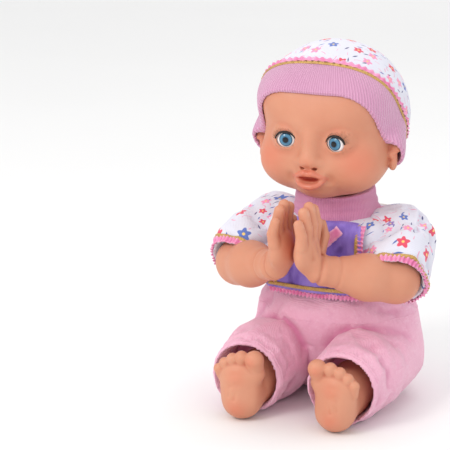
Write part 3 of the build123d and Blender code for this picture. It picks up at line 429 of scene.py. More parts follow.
def sculpt_head():
    _, cy, cz = HEAD_CENTRE
    eye_x, eye_y, eye_z = EYE
    face_y = eye_y - EYE_RADIUS
    clay = Clay((-61, cy - 62, cz - 56), (61, cy + 56, cz + 58), 0.8)
    clay.add(skull(clay))
    clay.add(clay.egg((0, cy - 11.0, cz - 20.0), (46.5, 38.0, 34.0)), 10)
    for side in (-1, 1):
        clay.add(clay.egg((side * 25.0, cy - 27.5, cz - 26.0), (19.5, 18.0, 17.5)), 12)
    clay.add(clay.egg((0, cy - 32.0, cz - 41.0), (13.0, 13.0, 9.5)), 9)
    clay.add(clay.egg((0, cy - 37.0, cz - 30.0), (17.0, 13.5, 13.0)), 8)
    neck_top = (0, cy + 2.0, cz - 40.0)
    clay.add(clay.finger(neck_top, (0, cy + 4.0, cz - 52.0), 20.0, 17.0), 6)
    # bridge of the nose and the hollows of the eyes
    for side in (-1, 1):
        hollow = clay.egg((side * eye_x, face_y - 2.0, eye_z - 0.5), (9.5, 5.0, 7.0))
        clay.press(hollow, 2.0, 6.0)
        bridge_top = (side * 9.0, face_y - 1.0, eye_z + 2.0)
        clay.press(clay.finger(bridge_top, (side * 7.5, face_y - 3.0, eye_z - 7.0), 1, 1), 1.1, 5.0)
    # nose
    nose_z = eye_z - NOSE_DROP
    tip_y = face_y - 5.6
    bridge = clay.finger((0, face_y + 2.8, eye_z + 1.0), (0, tip_y + 4.4, nose_z + 3.5), 4.0, 5.0)
    clay.add(bridge, 8)
    clay.add(clay.egg((0, tip_y + 5.0, nose_z + 0.8), (7.0, 6.4, 5.6)), 3.0)
    for side in (-1, 1):
        clay.add(clay.egg((side * 7.0, tip_y + 7.6, nose_z - 0.4), (4.2, 4.6, 4.1)), 2.2)
        clay.cut(clay.egg((side * 4.4, tip_y + 4.2, nose_z - 4.2), (1.9, 2.4, 1.3)), 1.2)
    # mouth
    groove = clay.finger((0, LIP_Y, MOUTH_Z + 12.0), (0, LIP_Y - 1.0, MOUTH_Z + 7.0), 0.8, 1.1)
    clay.press(groove, 0.8, 2.0)
    clay.add(lip(clay, UPPER_LIP), 2.2)
    clay.add(lip(clay, LOWER_LIP), 3.0)
    clay.cut(mouth_opening(clay), 1.3)
    for side in (-1, 1):
        corner = clay.egg((side * 14.4, LIP_Y + 5.4, MOUTH_Z - 0.8), (1.6, 2.0, 1.8))
        clay.press(corner, 1.1, 2.6)
    clay.press(clay.egg((0, LIP_Y + 2.6, MOUTH_Z - 12.0), (8.0, 2.0, 0.8)), 1.6, 3.0)
    for side in (-1, 1):
        sculpt_ear(clay, side)
    # eye openings and lids
    for side in (-1, 1):
        ball = clay.egg((side * eye_x, eye_y, eye_z), (EYE_RADIUS,) * 3)
        clay.add(np.maximum(ball - 1.3, -0.5 - ball), 2.6)
        clay.cut(eye_gap(clay, side), 0.8)
        clay.cut(ball - 0.15)
    return shell_of(clay, "vinyl_head", 2)


head = sculpt_head()


# ---------------------------------------------------------------- finishes
def tint(red, green, blue):
    """A colour given in the usual 0 to 255 steps, as light."""
    steps = np.array((red, green, blue)) / 255.0
    light = np.where(steps <= 0.04045, steps / 12.92, ((steps + 0.055) / 1.055) ** 2.4)
    return tuple(float(part) for part in light)


class Field:
    """A value that varies over a surface. Sums and products of fields add their nodes."""

    def __init__(self, finish, socket):
        self.finish = finish
        self.socket = socket

    def math(self, operation, first, second=0.0):
        node = self.finish.node("ShaderNodeMath", {"operation": operation}, {0: first, 1: second})
        return Field(self.finish, node.outputs[0])

    def __add__(self, other):
        return self.math("ADD", self, other)

    def __radd__(self, other):
        return self.math("ADD", other, self)

    def __sub__(self, other):
        return self.math("SUBTRACT", self, other)

    def __rsub__(self, other):
        return self.math("SUBTRACT", other, self)

    def __mul__(self, other):
        return self.math("MULTIPLY", self, other)

    def __rmul__(self, other):
        return self.math("MULTIPLY", other, self)

    def __truediv__(self, other):
        return self.math("DIVIDE", self, other)

    def __rtruediv__(self, other):
        return self.math("DIVIDE", other, self)

    def least(self, other):
        return self.math("MINIMUM", self, other)

    def most(self, other):
        return self.math("MAXIMUM", self, other)

    def size(self):
        return self.math("ABSOLUTE", self)

    def sine(self):
        return self.math("SINE", self)

    def above(self, edge, soft):
        """1 where the field is over an edge and 0 where it is under, with a soft step."""
        share = (self - (edge - soft / 2)) / soft
        return share.most(0.0).least(1.0)


class Finish:
    """A procedural material, built on the principled shader."""

    def __init__(self, name, **constants):
        self.material = bpy.data.materials.new(name)
        self.material.use_nodes = True
        self.tree = self.material.node_tree
        self.shader = self.tree.nodes["Principled BSDF"]
        for words, value in constants.items():
            self.feed(self.shader.inputs[words.replace("_", " ")], value)

    def feed(self, socket, value):
        if isinstance(value, Field):
            self.tree.links.new(value.socket, socket)
        elif socket.type == "RGBA":
            socket.default_value = (*value, 1.0)
        else:
            socket.default_value = value

    def node(self, kind, settings, sockets):
        """A node with its settings made first and then its sockets filled or linked."""
        node = self.tree.nodes.new(kind)
        for key, value in settings.items():
            setattr(node, key, value)
        for key, value in sockets.items():
            self.feed(node.inputs[key], value)
        return node

    def where(self):
        node = self.node("ShaderNodeTexCoord", {}, {})
        return Field(self, node.outputs["Object"])

    def scaled(self, vector, factors):
        node = self.node("ShaderNodeVectorMath", {"operation": "MULTIPLY"}, {0: vector, 1: factors})
        return Field(self, node.outputs[0])

    def between(self, first, second):
        """The step from one place to another, as a vector."""
        node = self.node("ShaderNodeVectorMath", {"operation": "SUBTRACT"}, {0: second, 1: first})
        return Field(self, node.outputs[0])

    def parts(self, vector):
        node = self.node("ShaderNodeSeparateXYZ", {}, {0: vector})
        return [Field(self, socket) for socket in node.outputs]

    def painted(self, name):
        node = self.node("ShaderNodeAttribute", {"attribute_name": name}, {})
        return Field(self, node.outputs["Fac"])

    def mapped(self, name):
        """Places laid out flat on the cloth, in millimetres."""
        node = self.node("ShaderNodeAttribute", {"attribute_name": name}, {})
        return Field(self, node.outputs["Vector"])

    def noise(self, vector, grain, detail=2.0):
        sockets = {"Vector": vector, "Scale": 1.0 / grain, "Detail": detail}
        node = self.node("ShaderNodeTexNoise", {}, sockets)
        return Field(self, node.outputs[0])

    def cells(self, vector, pitch):
        """Scattered points on a flat layout: the distance, a chance and the place of the nearest."""
        sockets = {"Vector": vector, "Scale": 1.0 / pitch, "Randomness": 0.75}
        node = self.node("ShaderNodeTexVoronoi", {"voronoi_dimensions": "2D"}, sockets)
        chance = self.parts(Field(self, node.outputs["Color"]))
        distance = Field(self, node.outputs["Distance"]) * pitch
        place = self.scaled(Field(self, node.outputs["Position"]), (1.0, 1.0, 0.0))
        return distance, chance, place

    def mix(self, share, first, second):
        node = self.node("ShaderNodeMix", {"data_type": "RGBA"}, {0: share, 6: first, 7: second})
        return Field(self, node.outputs[2])

    def coat(self, colour=None, roughness=None, height=None, depth=0.0002, strength=0.6):
        """Send what varies to the shader: colour, roughness, and a height for the relief."""
        if colour is not None:
            self.feed(self.shader.inputs["Base Color"], colour)
        if roughness is not None:
            self.feed(self.shader.inputs["Roughness"], roughness)
        if height is not None:
            sockets = {"Height": height, "Strength": strength, "Distance": depth}
            bump = self.node("ShaderNodeBump", {}, sockets)
            self.feed(self.shader.inputs["Normal"], Field(self, bump.outputs[0]))
        return self.material


def vinyl_finish():
    finish = Finish(
        "soft_vinyl",
        Subsurface_Weight=0.12,
        Subsurface_Radius=(0.9, 0.35, 0.2),
        Subsurface_Scale=0.004,
        Specular_IOR_Level=0.45,
    )
    where = finish.where()
    mottle = finish.noise(where, 0.030, 3.0)
    fine = finish.noise(where, 0.0016, 2.0)
    colour = finish.mix(mottle.above(0.5, 0.5), tint(211, 148, 119), tint(202, 134, 105))
    # Painted shade: the creases are darkened towards a deep orange-red.
    colour = finish.mix(finish.painted("hollow") * 0.75, colour, tint(176, 80, 54))
    # Blush is the doll's own painted warmth on cheeks, ears, lids, nose, chin, elbows and soles; on the
    # inner palms and fingers it is painted shadow between the two facing hands.
    colour = finish.mix(finish.painted("blush") * 0.55, colour, tint(212, 108, 82))
    colour = finish.mix(finish.painted("nail") * 0.4, colour, tint(228, 180, 158))
    colour = finish.mix(finish.painted("lips") * 0.5, colour, tint(208, 98, 80))
    # Deep dark red: the doll's own paint inside the mouth, and painted shade in the nostrils.
    colour = finish.mix(finish.painted("deep"), colour, tint(176, 56, 38))
    gloss = 0.46 + fine * 0.10 - finish.painted("lips") * 0.18
    return finish.coat(colour, gloss, fine + 0.6 * mottle, 0.00025, 0.35)


def flower_print(finish, flat, ground):
    """White jersey printed with small five-petalled flowers, sprigs and fine swirls."""
    colour = ground
    swirl = finish.noise(flat, 13.0, 0.0)
    line = 1.0 - (swirl - 0.52).size().above(0.012, 0.010)
    broken = finish.noise(flat, 6.0, 0.0).above(0.54, 0.03)
    colour = finish.mix(line * broken * 0.8, colour, tint(236, 140, 176))
    distance, chance, place = finish.cells(flat, 9.6)
    step = finish.parts(finish.between(place, flat))
    leaf = 1.0 - ((step[0] + step[1] * (chance[2] * 2.0 - 1.0)).size() * 1.4 + distance * 0.42).above(
        1.15, 0.25
    )
    sprig = finish.mix(chance[1].above(0.5, 0.02), tint(84, 112, 184), tint(60, 60, 118))
    colour = finish.mix(leaf * chance[0].above(0.42, 0.02), colour, sprig)
    distance, chance, place = finish.cells(flat, 16.0)
    step = finish.parts(finish.between(place, flat))
    turn = step[0].math("ARCTAN2", step[1], step[0])
    petals = 3.3 + (turn * 5.0 + chance[2] * 6.0).sine() * 0.8
    flower = 1.0 - (distance / petals).above(1.0, 0.12)
    hue = finish.mix(chance[0].above(0.45, 0.02), tint(228, 78, 104), tint(244, 148, 188))
    hue = finish.mix(chance[1].above(0.78, 0.02), hue, tint(96, 122, 196))
    heart = 1.0 - distance.above(0.85, 0.2)
    colour = finish.mix(flower, colour, hue)
    return finish.mix(heart, colour, tint(250, 214, 120))


def jersey_finish():
    finish = Finish("flowered_jersey", Sheen_Weight=0.25, Sheen_Roughness=0.5, Specular_IOR_Level=0.2)
    flat = finish.mapped("flat_mm")
    across, along, _ = finish.parts(flat)
    cloud = finish.noise(flat, 22.0)
    ground = finish.mix(cloud, tint(218, 218, 232), tint(232, 232, 242))
    # Painted shade darkens the creases.
    ground = finish.mix(finish.painted("hollow") * 0.8, ground, tint(184, 178, 202))
    colour = flower_print(finish, flat, ground)
    wales = (across * (2 * math.pi / 0.9)).sine()
    courses = (along * (2 * math.pi / 0.7) + wales * 1.2).sine()
    stitch = wales * 0.5 + courses * 0.35 + finish.noise(flat, 0.6) * 0.6
    # Painted shade darkens the low parts between the stitches.
    colour = finish.mix((0.5 - stitch * 0.5).least(1.0).most(0.0) * 0.10, colour, tint(150, 146, 170))
    return finish.coat(colour, 0.82 + 0.08 * cloud, stitch, 0.00022, 0.5)


def rib_finish(name, light, dark, pitch):
    finish = Finish(name, Sheen_Weight=0.4, Sheen_Roughness=0.45, Specular_IOR_Level=0.2)
    flat = finish.mapped("flat_mm")
    across, along, _ = finish.parts(flat)
    wobble = finish.noise(flat, 9.0) * 1.1
    rib = (across * (2 * math.pi / pitch) + wobble).sine()
    loop = (along * (2 * math.pi / 1.0) + rib * 1.4).sine()
    groove = (0.5 - rib * 0.5).most(0.0)
    cloud = finish.noise(flat, 26.0)
    colour = finish.mix(cloud, light, tuple(0.6 * a + 0.4 * b for a, b in zip(light, dark)))
    shadow = (groove * 0.55 + finish.painted("hollow") * 0.7).least(1.0)
    colour = finish.mix(shadow, colour, dark)
    return finish.coat(colour, 0.78 + 0.08 * loop, rib + loop * 0.3, 0.00045, 0.7)


def weave_finish():
    """Fine plain-woven pink cloth with slubs, shaded in its creases."""
    finish = Finish("pink_linen", Sheen_Weight=0.35, Sheen_Roughness=0.4, Specular_IOR_Level=0.25)
    where = finish.where()
    x, y, z = finish.parts(finish.scaled(where, (1000.0, 1000.0, 1000.0)))
    slub = finish.noise(finish.scaled(where, (1000.0, 260.0, 1000.0)), 1.6, 1.0)
    fleck = finish.noise(finish.scaled(where, (260.0, 1000.0, 320.0)), 1.4, 1.0)
    cloud = finish.noise(finish.scaled(where, (1000.0,) * 3), 30.0)
    warp = ((x + 0.35 * y) * (2 * math.pi / 0.95) + slub * 2.0).sine()
    weft = ((z - 0.6 * y) * (2 * math.pi / 0.95) + fleck * 2.0).sine()
    thread = warp * 0.5 + weft * 0.5 + slub
    colour = finish.mix(cloud.above(0.5, 0.5), tint(241, 186, 207), tint(235, 174, 198))
    colour = finish.mix(slub.above(0.62, 0.2) * 0.3, colour, tint(248, 208, 224))
    colour = finish.mix(fleck.above(0.62, 0.2) * 0.2, colour, tint(218, 134, 172))
    colour = finish.mix(finish.painted("hollow") * 0.9, colour, tint(204, 110, 152))
    return finish.coat(colour, 0.74 + 0.1 * slub, thread, 0.0003, 0.6)


def velour_finish():
    """Short purple pile, with painted shade in its creases and a pale painted highlight on the crests
    of its folds.
    """
    finish = Finish(
        "purple_velour",
        Sheen_Weight=0.8,
        Sheen_Roughness=0.3,
        Sheen_Tint=tint(190, 170, 250),
        Specular_IOR_Level=0.3,
    )
    where = finish.where()
    pile = finish.noise(where, 0.0008, 2.0)
    brushed = finish.noise(finish.scaled(where, (1.0, 1.0, 0.35)), 0.007, 3.0)
    colour = finish.mix(brushed.above(0.5, 0.3), tint(122, 96, 190), tint(156, 132, 220))
    # Painted shade in the creases, then a painted highlight on the crests of the folds.
    colour = finish.mix(finish.painted("hollow") * 0.9, colour, tint(74, 44, 128))
    colour = finish.mix(finish.painted("ridge") * 0.6, colour, tint(178, 160, 236))
    return finish.coat(colour, 0.55 + 0.25 * pile, pile + 0.8 * brushed, 0.0004, 0.6)


def ribbon_finish():
    finish = Finish("pink_ribbon_satin", Sheen_Weight=0.5, Sheen_Roughness=0.3, Specular_IOR_Level=0.5)
    where = finish.where()
    across = finish.noise(finish.scaled(where, (1.0, 1.0, 1.0)), 0.0007, 1.0)
    cloud = finish.noise(where, 0.009, 2.0)
    colour = finish.mix(cloud.above(0.5, 0.3), tint(242, 160, 198), tint(226, 120, 170))
    # Painted shade in the creases, then a painted highlight on the crests of the pleats.
    colour = finish.mix(finish.painted("hollow") * 0.7, colour, tint(178, 74, 124))
    colour = finish.mix(finish.painted("ridge") * 0.6, colour, tint(255, 216, 234))
    return finish.coat(colour, 0.40 + 0.25 * across, across, 0.0002, 0.6)


def gold_finish():
    """Twisted gold yarn of the braid."""
    finish = Finish("gold_braid_yarn", Metallic=0.45, Specular_IOR_Level=0.6, Sheen_Weight=0.3)
    where = finish.where()
    yarn = finish.noise(where, 0.0006, 2.0)
    cloud = finish.noise(where, 0.004, 1.0)
    colour = finish.mix(cloud, tint(186, 140, 66), tint(222, 186, 112))
    colour = finish.mix(yarn.above(0.56, 0.2) * 0.5, colour, tint(142, 98, 46))
    return finish.coat(colour, 0.38 + 0.25 * yarn, yarn, 0.0003, 0.8)


def eye_finish():
    """White of the eye, blue iris with spokes and a dark rim, and a black pupil."""
    finish = Finish("glassy_eye", Coat_Roughness=0.03, Specular_IOR_Level=0.25)
    out = finish.painted("iris_mm")
    where = finish.where()
    vein = finish.noise(where, 0.003, 3.0)
    spokes = finish.painted("spoke") * 0.7 + finish.noise(where, 0.0012) * 0.3
    iris = finish.mix(spokes, tint(52, 104, 138), tint(98, 154, 182))
    iris = finish.mix(1.0 - out.above(2.6, 1.0), iris, tint(46, 92, 128))
    iris = finish.mix(out.above(4.5, 0.7), iris, tint(24, 52, 82))
    white = finish.mix(out.above(6.5, 3.5), tint(246, 246, 246), tint(214, 196, 194))
    white = finish.mix(vein.above(0.66, 0.1) * 0.15, white, tint(220, 150, 146))
    colour = finish.mix(out.above(5.15, 0.3), iris, white)
    colour = finish.mix(out.above(2.1, 0.25), tint(8, 10, 16), colour)
    finish.feed(finish.shader.inputs["Coat Weight"], 0.35 + 0.1 * out.above(5.0, 2.0))
    return finish.coat(colour, 0.16 + 0.08 * vein)


def lash_finish():
    finish = Finish("black_lash", Specular_IOR_Level=0.35)
    strand = finish.noise(finish.scaled(finish.where(), (1.0, 0.3, 0.5)), 0.0006, 1.0)
    colour = finish.mix(strand, tint(14, 11, 12), tint(46, 36, 34))
    return finish.coat(colour, 0.45 + 0.25 * strand, strand, 0.0001, 0.5)


def moulded_finish(name, light, dark, gloss, grain=0.0009, relief=0.3, metal=0.0):
    """Moulded or cast inner parts: a little cloudy, with a fine grain."""
    finish = Finish(name, Metallic=metal, Specular_IOR_Level=0.5)
    where = finish.where()
    cloud = finish.noise(where, 0.018, 3.0)
    fine = finish.noise(where, grain, 2.0)
    colour = finish.mix((cloud + 0.4 * fine).above(0.7, 0.5), light, dark)
    return finish.coat(colour, gloss + 0.14 * fine, fine, 0.0001, relief)


def banded_finish(name, light, dark, pitch, axis, gloss, metal=0.0):
    """Turned, wound or printed parts: fine bands along one axis."""
    finish = Finish(name, Metallic=metal, Specular_IOR_Level=0.5)
    where = finish.where()
    place = finish.parts(where)[axis]
    band = (place * (2 * math.pi / pitch) + finish.noise(where, 0.004) * 1.5).sine() * 0.5 + 0.5
    fine = finish.noise(where, 0.001, 2.0)
    colour = finish.mix(band * 0.7 + fine * 0.3, light, dark)
    return finish.coat(colour, gloss + 0.15 * fine, band, 0.0001, 0.4)


VINYL = vinyl_finish()
JERSEY = jersey_finish()
BAND_RIB_PITCH = 1.9
BAND_RIB = rib_finish("hat_rib", tint(224, 170, 200), tint(200, 134, 172), BAND_RIB_PITCH)
COLLAR_RIB = rib_finish("collar_knit", tint(238, 164, 200), tint(206, 120, 162), 1.2)
WEAVE = weave_finish()
VELOUR = velour_finish()
RIBBON = ribbon_finish()
GOLD = gold_finish()
EYE_GLASS = eye_finish()
LASH = lash_finish()
STEEL = (tint(176, 178, 182), tint(140, 142, 148))
PLATING = (tint(206, 204, 196), tint(168, 166, 158))
MOTOR_CAN = (tint(182, 182, 186), tint(150, 150, 156))
CELL_WRAP = (tint(58, 92, 76), tint(40, 66, 58))
LAMINATE = (tint(30, 104, 62), tint(22, 78, 48))
CASING = (tint(226, 222, 214), tint(206, 200, 190))
JOINTS = (tint(188, 186, 182), tint(164, 162, 160))
GEARS = (tint(240, 236, 222), tint(222, 214, 192))
BASKET = (tint(96, 98, 104), tint(70, 72, 78))
CONE = (tint(52, 48, 46), tint(34, 32, 32))
COMPONENTS = (tint(30, 30, 32), tint(46, 46, 50))
BUTTON = (tint(236, 150, 186), tint(220, 128, 168))
X_AXIS, Z_AXIS = 0, 2
INNER_FINISHES = {
    "skin_vinyl": VINYL,
    "casing_plastic": moulded_finish("casing_moulding", *CASING, 0.42),
    "joint_plastic": moulded_finish("joint_moulding", *JOINTS, 0.40),
    "gear_plastic": moulded_finish("gear_moulding", *GEARS, 0.33),
    "steel": banded_finish("turned_steel", *STEEL, 0.0006, Z_AXIS, 0.26, 1.0),
    "plated_spring": banded_finish("plated_wire", *PLATING, 0.0008, X_AXIS, 0.24, 1.0),
    "battery_wrap": banded_finish("cell_wrap", *CELL_WRAP, 0.025, X_AXIS, 0.30),
    "motor_can": banded_finish("motor_can_metal", *MOTOR_CAN, 0.0008, Z_AXIS, 0.30, 1.0),
    "speaker_frame": moulded_finish("speaker_frame_metal", *BASKET, 0.42, metal=0.8),
    "speaker_paper": moulded_finish("speaker_cone_paper", *CONE, 0.85, 0.0006, 0.8),
    "board_green": banded_finish("circuit_laminate", *LAMINATE, 0.0021, X_AXIS, 0.32),
    "component_black": moulded_finish("component_case", *COMPONENTS, 0.45),
    "button_plastic": moulded_finish("button_moulding", *BUTTON, 0.36),
}


# ---------------------------------------------------------------- arms and hands
BALL = np.array((54.0, -6.0, 120.0))
ELBOW = np.array((62.0, -42.0, 98.5))
WRIST = np.array((17.0, -76.0, 112.0))
PALM_SIDE = 1.2
PALM = WRIST + (-7.5, -4.5, 14.0)
SHOULDER_BORE = 14.9
UPPER_ARM = unit(ELBOW - BALL)
SLEEVE_END = np.array((60.0, -34.0, 105.0))
# place across the palm, height, thickness and lean, from the little finger
FINGERS = (
    (-13.4, 22.5, 4.1, 0.0),
    (-5.2, 29.0, 4.5, 0.4),
    (3.2, 31.0, 4.6, 0.8),
    (11.4, 27.5, 4.5, 0.6),
)


def sculpt_arm(side, name):
    """One arm in vinyl, from the shoulder to the fingertips, with the palm towards the middle."""
    clay = Clay((0.2, -102, 76), (86, 16, 166), 0.75)
    clay.add(clay.finger(BALL, ELBOW + (0, 3, 2), 16.0, 15.0))
    clay.add(clay.finger(ELBOW + (-1, 1, 0.5), ELBOW + (-17, -13, 5.5), 15.6, 16.0), 8)
    clay.add(clay.finger(ELBOW + (-17, -13, 5.5), WRIST + (3, 3, -1), 15.8, 10.4), 6)
    # palm and the heel of the hand
    palm = PALM
    clay.add(clay.finger(WRIST, palm + (0.5, 1.0, -4), 10.4, 8.6), 4)
    clay.add(clay.egg(palm, (7.8, 16.0, 14.6)), 6)
    clay.add(clay.egg(palm + (1.0, 8.0, -4.0), (7.0, 8.0, 9.5)), 4)
    # fingers stand up, the little finger forward
    for across, tall, thick, lean in FINGERS:
        root = palm + (0.6 + lean, across * 0.92, 6.0)
        knuckle = palm + (1.4 + lean, across, tall * 0.62)
        tip = palm + (-0.8 + lean, across * 1.04 + 0.6, tall)
        clay.add(clay.finger(root, knuckle, thick + 0.5, thick), 1.0)
        clay.add(clay.finger(knuckle, tip, thick, thick - 0.5), 0.6)
    thumb = palm + (2.4, 15.5, -3.0)
    clay.add(clay.finger(thumb, thumb + (0.6, 6.0, 9.0), 5.6, 5.0), 3.0)
    clay.add(clay.finger(thumb + (0.6, 6.0, 9.0), thumb + (-0.8, 5.2, 19.0), 5.0, 4.3), 1.2)
    # creases at the wrist and the inside of the elbow
    wrist_run = unit(WRIST - ELBOW)
    for at, depth in ((WRIST + wrist_run * 1.0, 1.7), (WRIST - wrist_run * 13.0, 0.8)):
        x, y, z = (clay.grid[i] - np.float32(at[i]) for i in range(3))
        flat = np.abs(x * wrist_run[0] + y * wrist_run[1] + z * wrist_run[2])
        clay.press(flat, depth, 1.6)
    clay.press(clay.finger(ELBOW + (-14, 12, 8), ELBOW + (2, 0, 15), 1.0, 1.0), 2.2, 3.2)
    for across in (-6.4, 0.4, 7.2):
        clay.press(clay.finger(palm + (8.6, across, 6), palm + (8.0, across, -3), 0.4, 0.4), 0.9, 1.8)
    # the palm stops short of the other one, and the shoulder end is open round its shaft
    x, y = clay.grid[0], clay.grid[1]
    clay.trim(PALM_SIDE - x)
    clay.trim(SHOULDER_BORE - np.sqrt((x - SHOULDER[0]) ** 2 + y**2))
    return shell_of(clay, f"{name}_vinyl_arm", 2, side)


# ---------------------------------------------------------------- legs and feet
ANKLE = np.array((36.0, -86.0, 21.0))
FOOT_BOTTOM = 0.3
SOLE_Y = span("left_leg_skin")[0][1]


# place across the foot, height and thickness, from the big toe on the inner side
TOES = (
    (-11.8, 21.6, 6.9),
    (-2.0, 22.4, 5.0),
    (5.2, 20.4, 4.5),
    (11.4, 16.8, 4.1),
    (16.2, 12.2, 3.7),
)


def sculpt_leg(side, name):
    """One leg in vinyl, with the sole standing upright and the toes at the top."""
    clay = Clay((10, SOLE_Y - 3, -1), (62, 18, 56), 0.75)
    clay.add(clay.finger(HIP, ANKLE + (0, 12, 0.5), 20.5, 17.0))
    clay.add(clay.finger(ANKLE + (0, 14, 0.5), ANKLE + (0, 2, -2.0), 16.5, 15.0), 4)
    middle = np.array((36.0, SOLE_Y + 12.0, 25.0))
    clay.add(clay.egg(middle + (0, 1.5, -11.0), (14.6, 13.5, 13.6)), 5)
    clay.add(clay.egg(middle + (1.0, 1.0, 2.0), (15.0, 11.5, 16.5)), 6)
    clay.add(clay.egg(middle + (-0.5, 1.0, 10.5), (17.6, 9.0, 9.6)), 5)
    for across, tall, thick in TOES:
        root = middle + (across * 0.9, 0.5, tall - 8.0)
        tip = middle + (across, -2.6, tall)
        clay.add(clay.finger(root, tip, thick - 0.5, thick), 1.0)
    # sole: arch, creases under the toes and at the heel
    sole = middle + (0, -12.0, 0)
    clay.press(clay.egg(sole + (-9.0, 1.0, -2.0), (3.0, 2.0, 9.0)), 1.7, 5.0)
    clay.press(clay.finger(sole + (-13, 1, 14.2), sole + (15, 1, 8.0), 0.4, 0.4), 1.5, 1.8)
    clay.press(clay.finger(sole + (-9, 0.5, 4.5), sole + (9, 0.5, 1.5), 0.3, 0.3), 1.2, 1.4)
    clay.press(clay.finger(sole + (-3, 0.5, 9.0), sole + (1.0, 0.5, -7.0), 0.3, 0.3), 1.1, 1.4)
    clay.press(clay.finger(sole + (5, 0.5, 8.0), sole + (6.0, 0.5, -5.0), 0.3, 0.3), 1.0, 1.4)
    # ankle crease, and the flat underside
    clay.press(clay.finger(ANKLE + (-16, 3, 12), ANKLE + (16, 3, 12), 0.8, 0.8), 1.6, 2.2)
    clay.trim(FOOT_BOTTOM - clay.grid[2])
    return shell_of(clay, f"{name}_vinyl_leg", 2, side)


arms = {name: sculpt_arm(side, name) for side, name in SIDES}
legs = {name: sculpt_leg(side, name) for side, name in SIDES}


# ---------------------------------------------------------------- cloth tools
WAVES = 6


def ripple(points, scale, seed):
    """Smooth noise between -1 and 1 at each point, from a few turned waves."""
    waves = np.random.default_rng(seed)
    total = np.zeros(len(points))
    for _ in range(WAVES):
        direction = unit(waves.normal(size=3))
        bend = waves.normal(size=3) / scale
        phase = waves.uniform(0, 2 * np.pi, 2)
        warp = np.sin(points @ bend + phase[1])
        total += np.sin(points @ direction * (2 * np.pi / scale) + phase[0] + 1.6 * warp)
    return total / WAVES


def mesh_points(piece):
    points = np.empty(len(piece.data.vertices) * 3)
    piece.data.vertices.foreach_get("co", points)
    return points.reshape(-1, 3) / MM


def mesh_normals(piece):
    normals = np.empty(len(piece.data.vertices) * 3)
    piece.data.vertices.foreach_get("normal", normals)
    return normals.reshape(-1, 3)


def set_points(piece, points):
    piece.data.vertices.foreach_set("co", (points * MM).ravel())
    piece.data.update()


def swell(piece, held, pressure=3.0, slack=0.06, cap=5.0, frames=18):
    """Cloth simulation that fills a closed form with air and lets its cloth wrinkle.

    held gives the share, from 0 to 1, by which each point stays in place. Slack is the spare
    cloth, as a share of each edge, and no point moves further than cap millimetres.
    """
    start = mesh_points(piece)
    group = piece.vertex_groups.new(name="held")
    weights = held(start)
    for index in np.nonzero(weights > 0.01)[0]:
        group.add([int(index)], float(min(1.0, weights[index])), "REPLACE")
    cloth = piece.modifiers.new("cloth", "CLOTH")
    cloth.settings.quality = 5
    cloth.settings.mass = 0.2
    cloth.settings.tension_stiffness = 12
    cloth.settings.compression_stiffness = 6
    cloth.settings.shear_stiffness = 4
    cloth.settings.bending_stiffness = 0.25
    cloth.settings.use_pressure = True
    cloth.settings.uniform_pressure_force = pressure
    cloth.settings.shrink_min = -slack
    cloth.settings.shrink_max = -slack
    cloth.settings.vertex_group_mass = "held"
    cloth.settings.effector_weights.gravity = 0.0
    cloth.collision_settings.use_collision = False
    scene = bpy.context.scene
    cloth.point_cache.frame_start = 1
    cloth.point_cache.frame_end = frames
    for number in range(1, frames + 1):
        scene.frame_set(number)
    apply_modifiers(piece)
    piece.vertex_groups.clear()
    scene.frame_set(1)
    moved = mesh_points(piece) - start
    far = np.linalg.norm(moved, axis=1, keepdims=True)
    moved *= np.minimum(1.0, cap / np.maximum(far, 1e-6))
    set_points(piece, start + moved)


def subdivide(piece, levels=1):
    modifier = piece.modifiers.new("smooth", "SUBSURF")
    modifier.levels = levels
    modifier.render_levels = levels
    apply_modifiers(piece)
    piece.data.polygons.foreach_set("use_smooth", [True] * len(piece.data.polygons))


def push_out(piece, amount):
    """Move each point along its normal by an amount in millimetres."""
    set_points(piece, mesh_points(piece) + mesh_normals(piece) * np.reshape(amount, (-1, 1)))


def smooth_step(value, low, high):
    share = np.clip((value - low) / (high - low), 0, 1)
    return share * share * (3 - 2 * share)


def slope_of(clay):
    """Distance above the hat's edge, which drops from the forehead to the nape."""
    x, y, z = clay.grid
    length = math.hypot(HAT_SLOPE, 1)
    sloping = ((y - HAT_FRONT[1]) * HAT_SLOPE + (z - HAT_FRONT[2])) / length + 0 * x
    level = z - HAT_NAPE + 0 * x + 0 * y
    return union(sloping, level, 10.0)


# ---------------------------------------------------------------- hat
HAT_FRONT = np.array((0.0, HEAD_CENTRE[1] - HEAD_RADIUS + 7.0, HEAD_CENTRE[2] + 24.5))
HAT_NAPE = CROWN_LOW[2] + 4.0
HAT_SLOPE = 1.42
BAND_WIDTH = 23.0
CROWN_LIFT = 3.2
BAND_RIB_COUNT = 172
COLLAR_RIB_COUNT = 125
COLLAR_RIB_LAY = 1.5


def over_ears(clay, grow):
    """The round of the head with the knit stretched over the tops of the ears."""
    field = skull(clay, grow)
    for side in (-1, 1):
        place, tilt = ear_place(side)
        bulge = clay.egg(place + (0, 0, 3.0), np.array((5.4, 10.5, 12.5)) + grow, tilt)
        field = union(field, bulge, 9.0)
    return field


def sculpt_hat():
    _, cy, cz = HEAD_CENTRE
    box = ((-60, cy - 60, cz - 48), (60, cy + 60, cz + 60), 0.9)
    band = Clay(*box)
    outer = over_ears(band, 3.4)
    inner = over_ears(band, 0.5)
    edge = slope_of(band)
    band.add(np.maximum(outer, -inner))
    band.trim(-edge)
    band.trim(edge - BAND_WIDTH)
    band_piece = shell_of(band, "knit_hat_band", 6)

    crown = Clay(*box)
    outer = skull(crown, CROWN_LIFT)
    inner = skull(crown, 0.5)
    edge = slope_of(crown)
    crown.add(np.maximum(outer, -inner))
    crown.trim(BAND_WIDTH - 1.0 - edge)
    return band_piece, shell_of(crown, "jersey_hat_crown", 4)


hat_band, hat_crown = sculpt_hat()


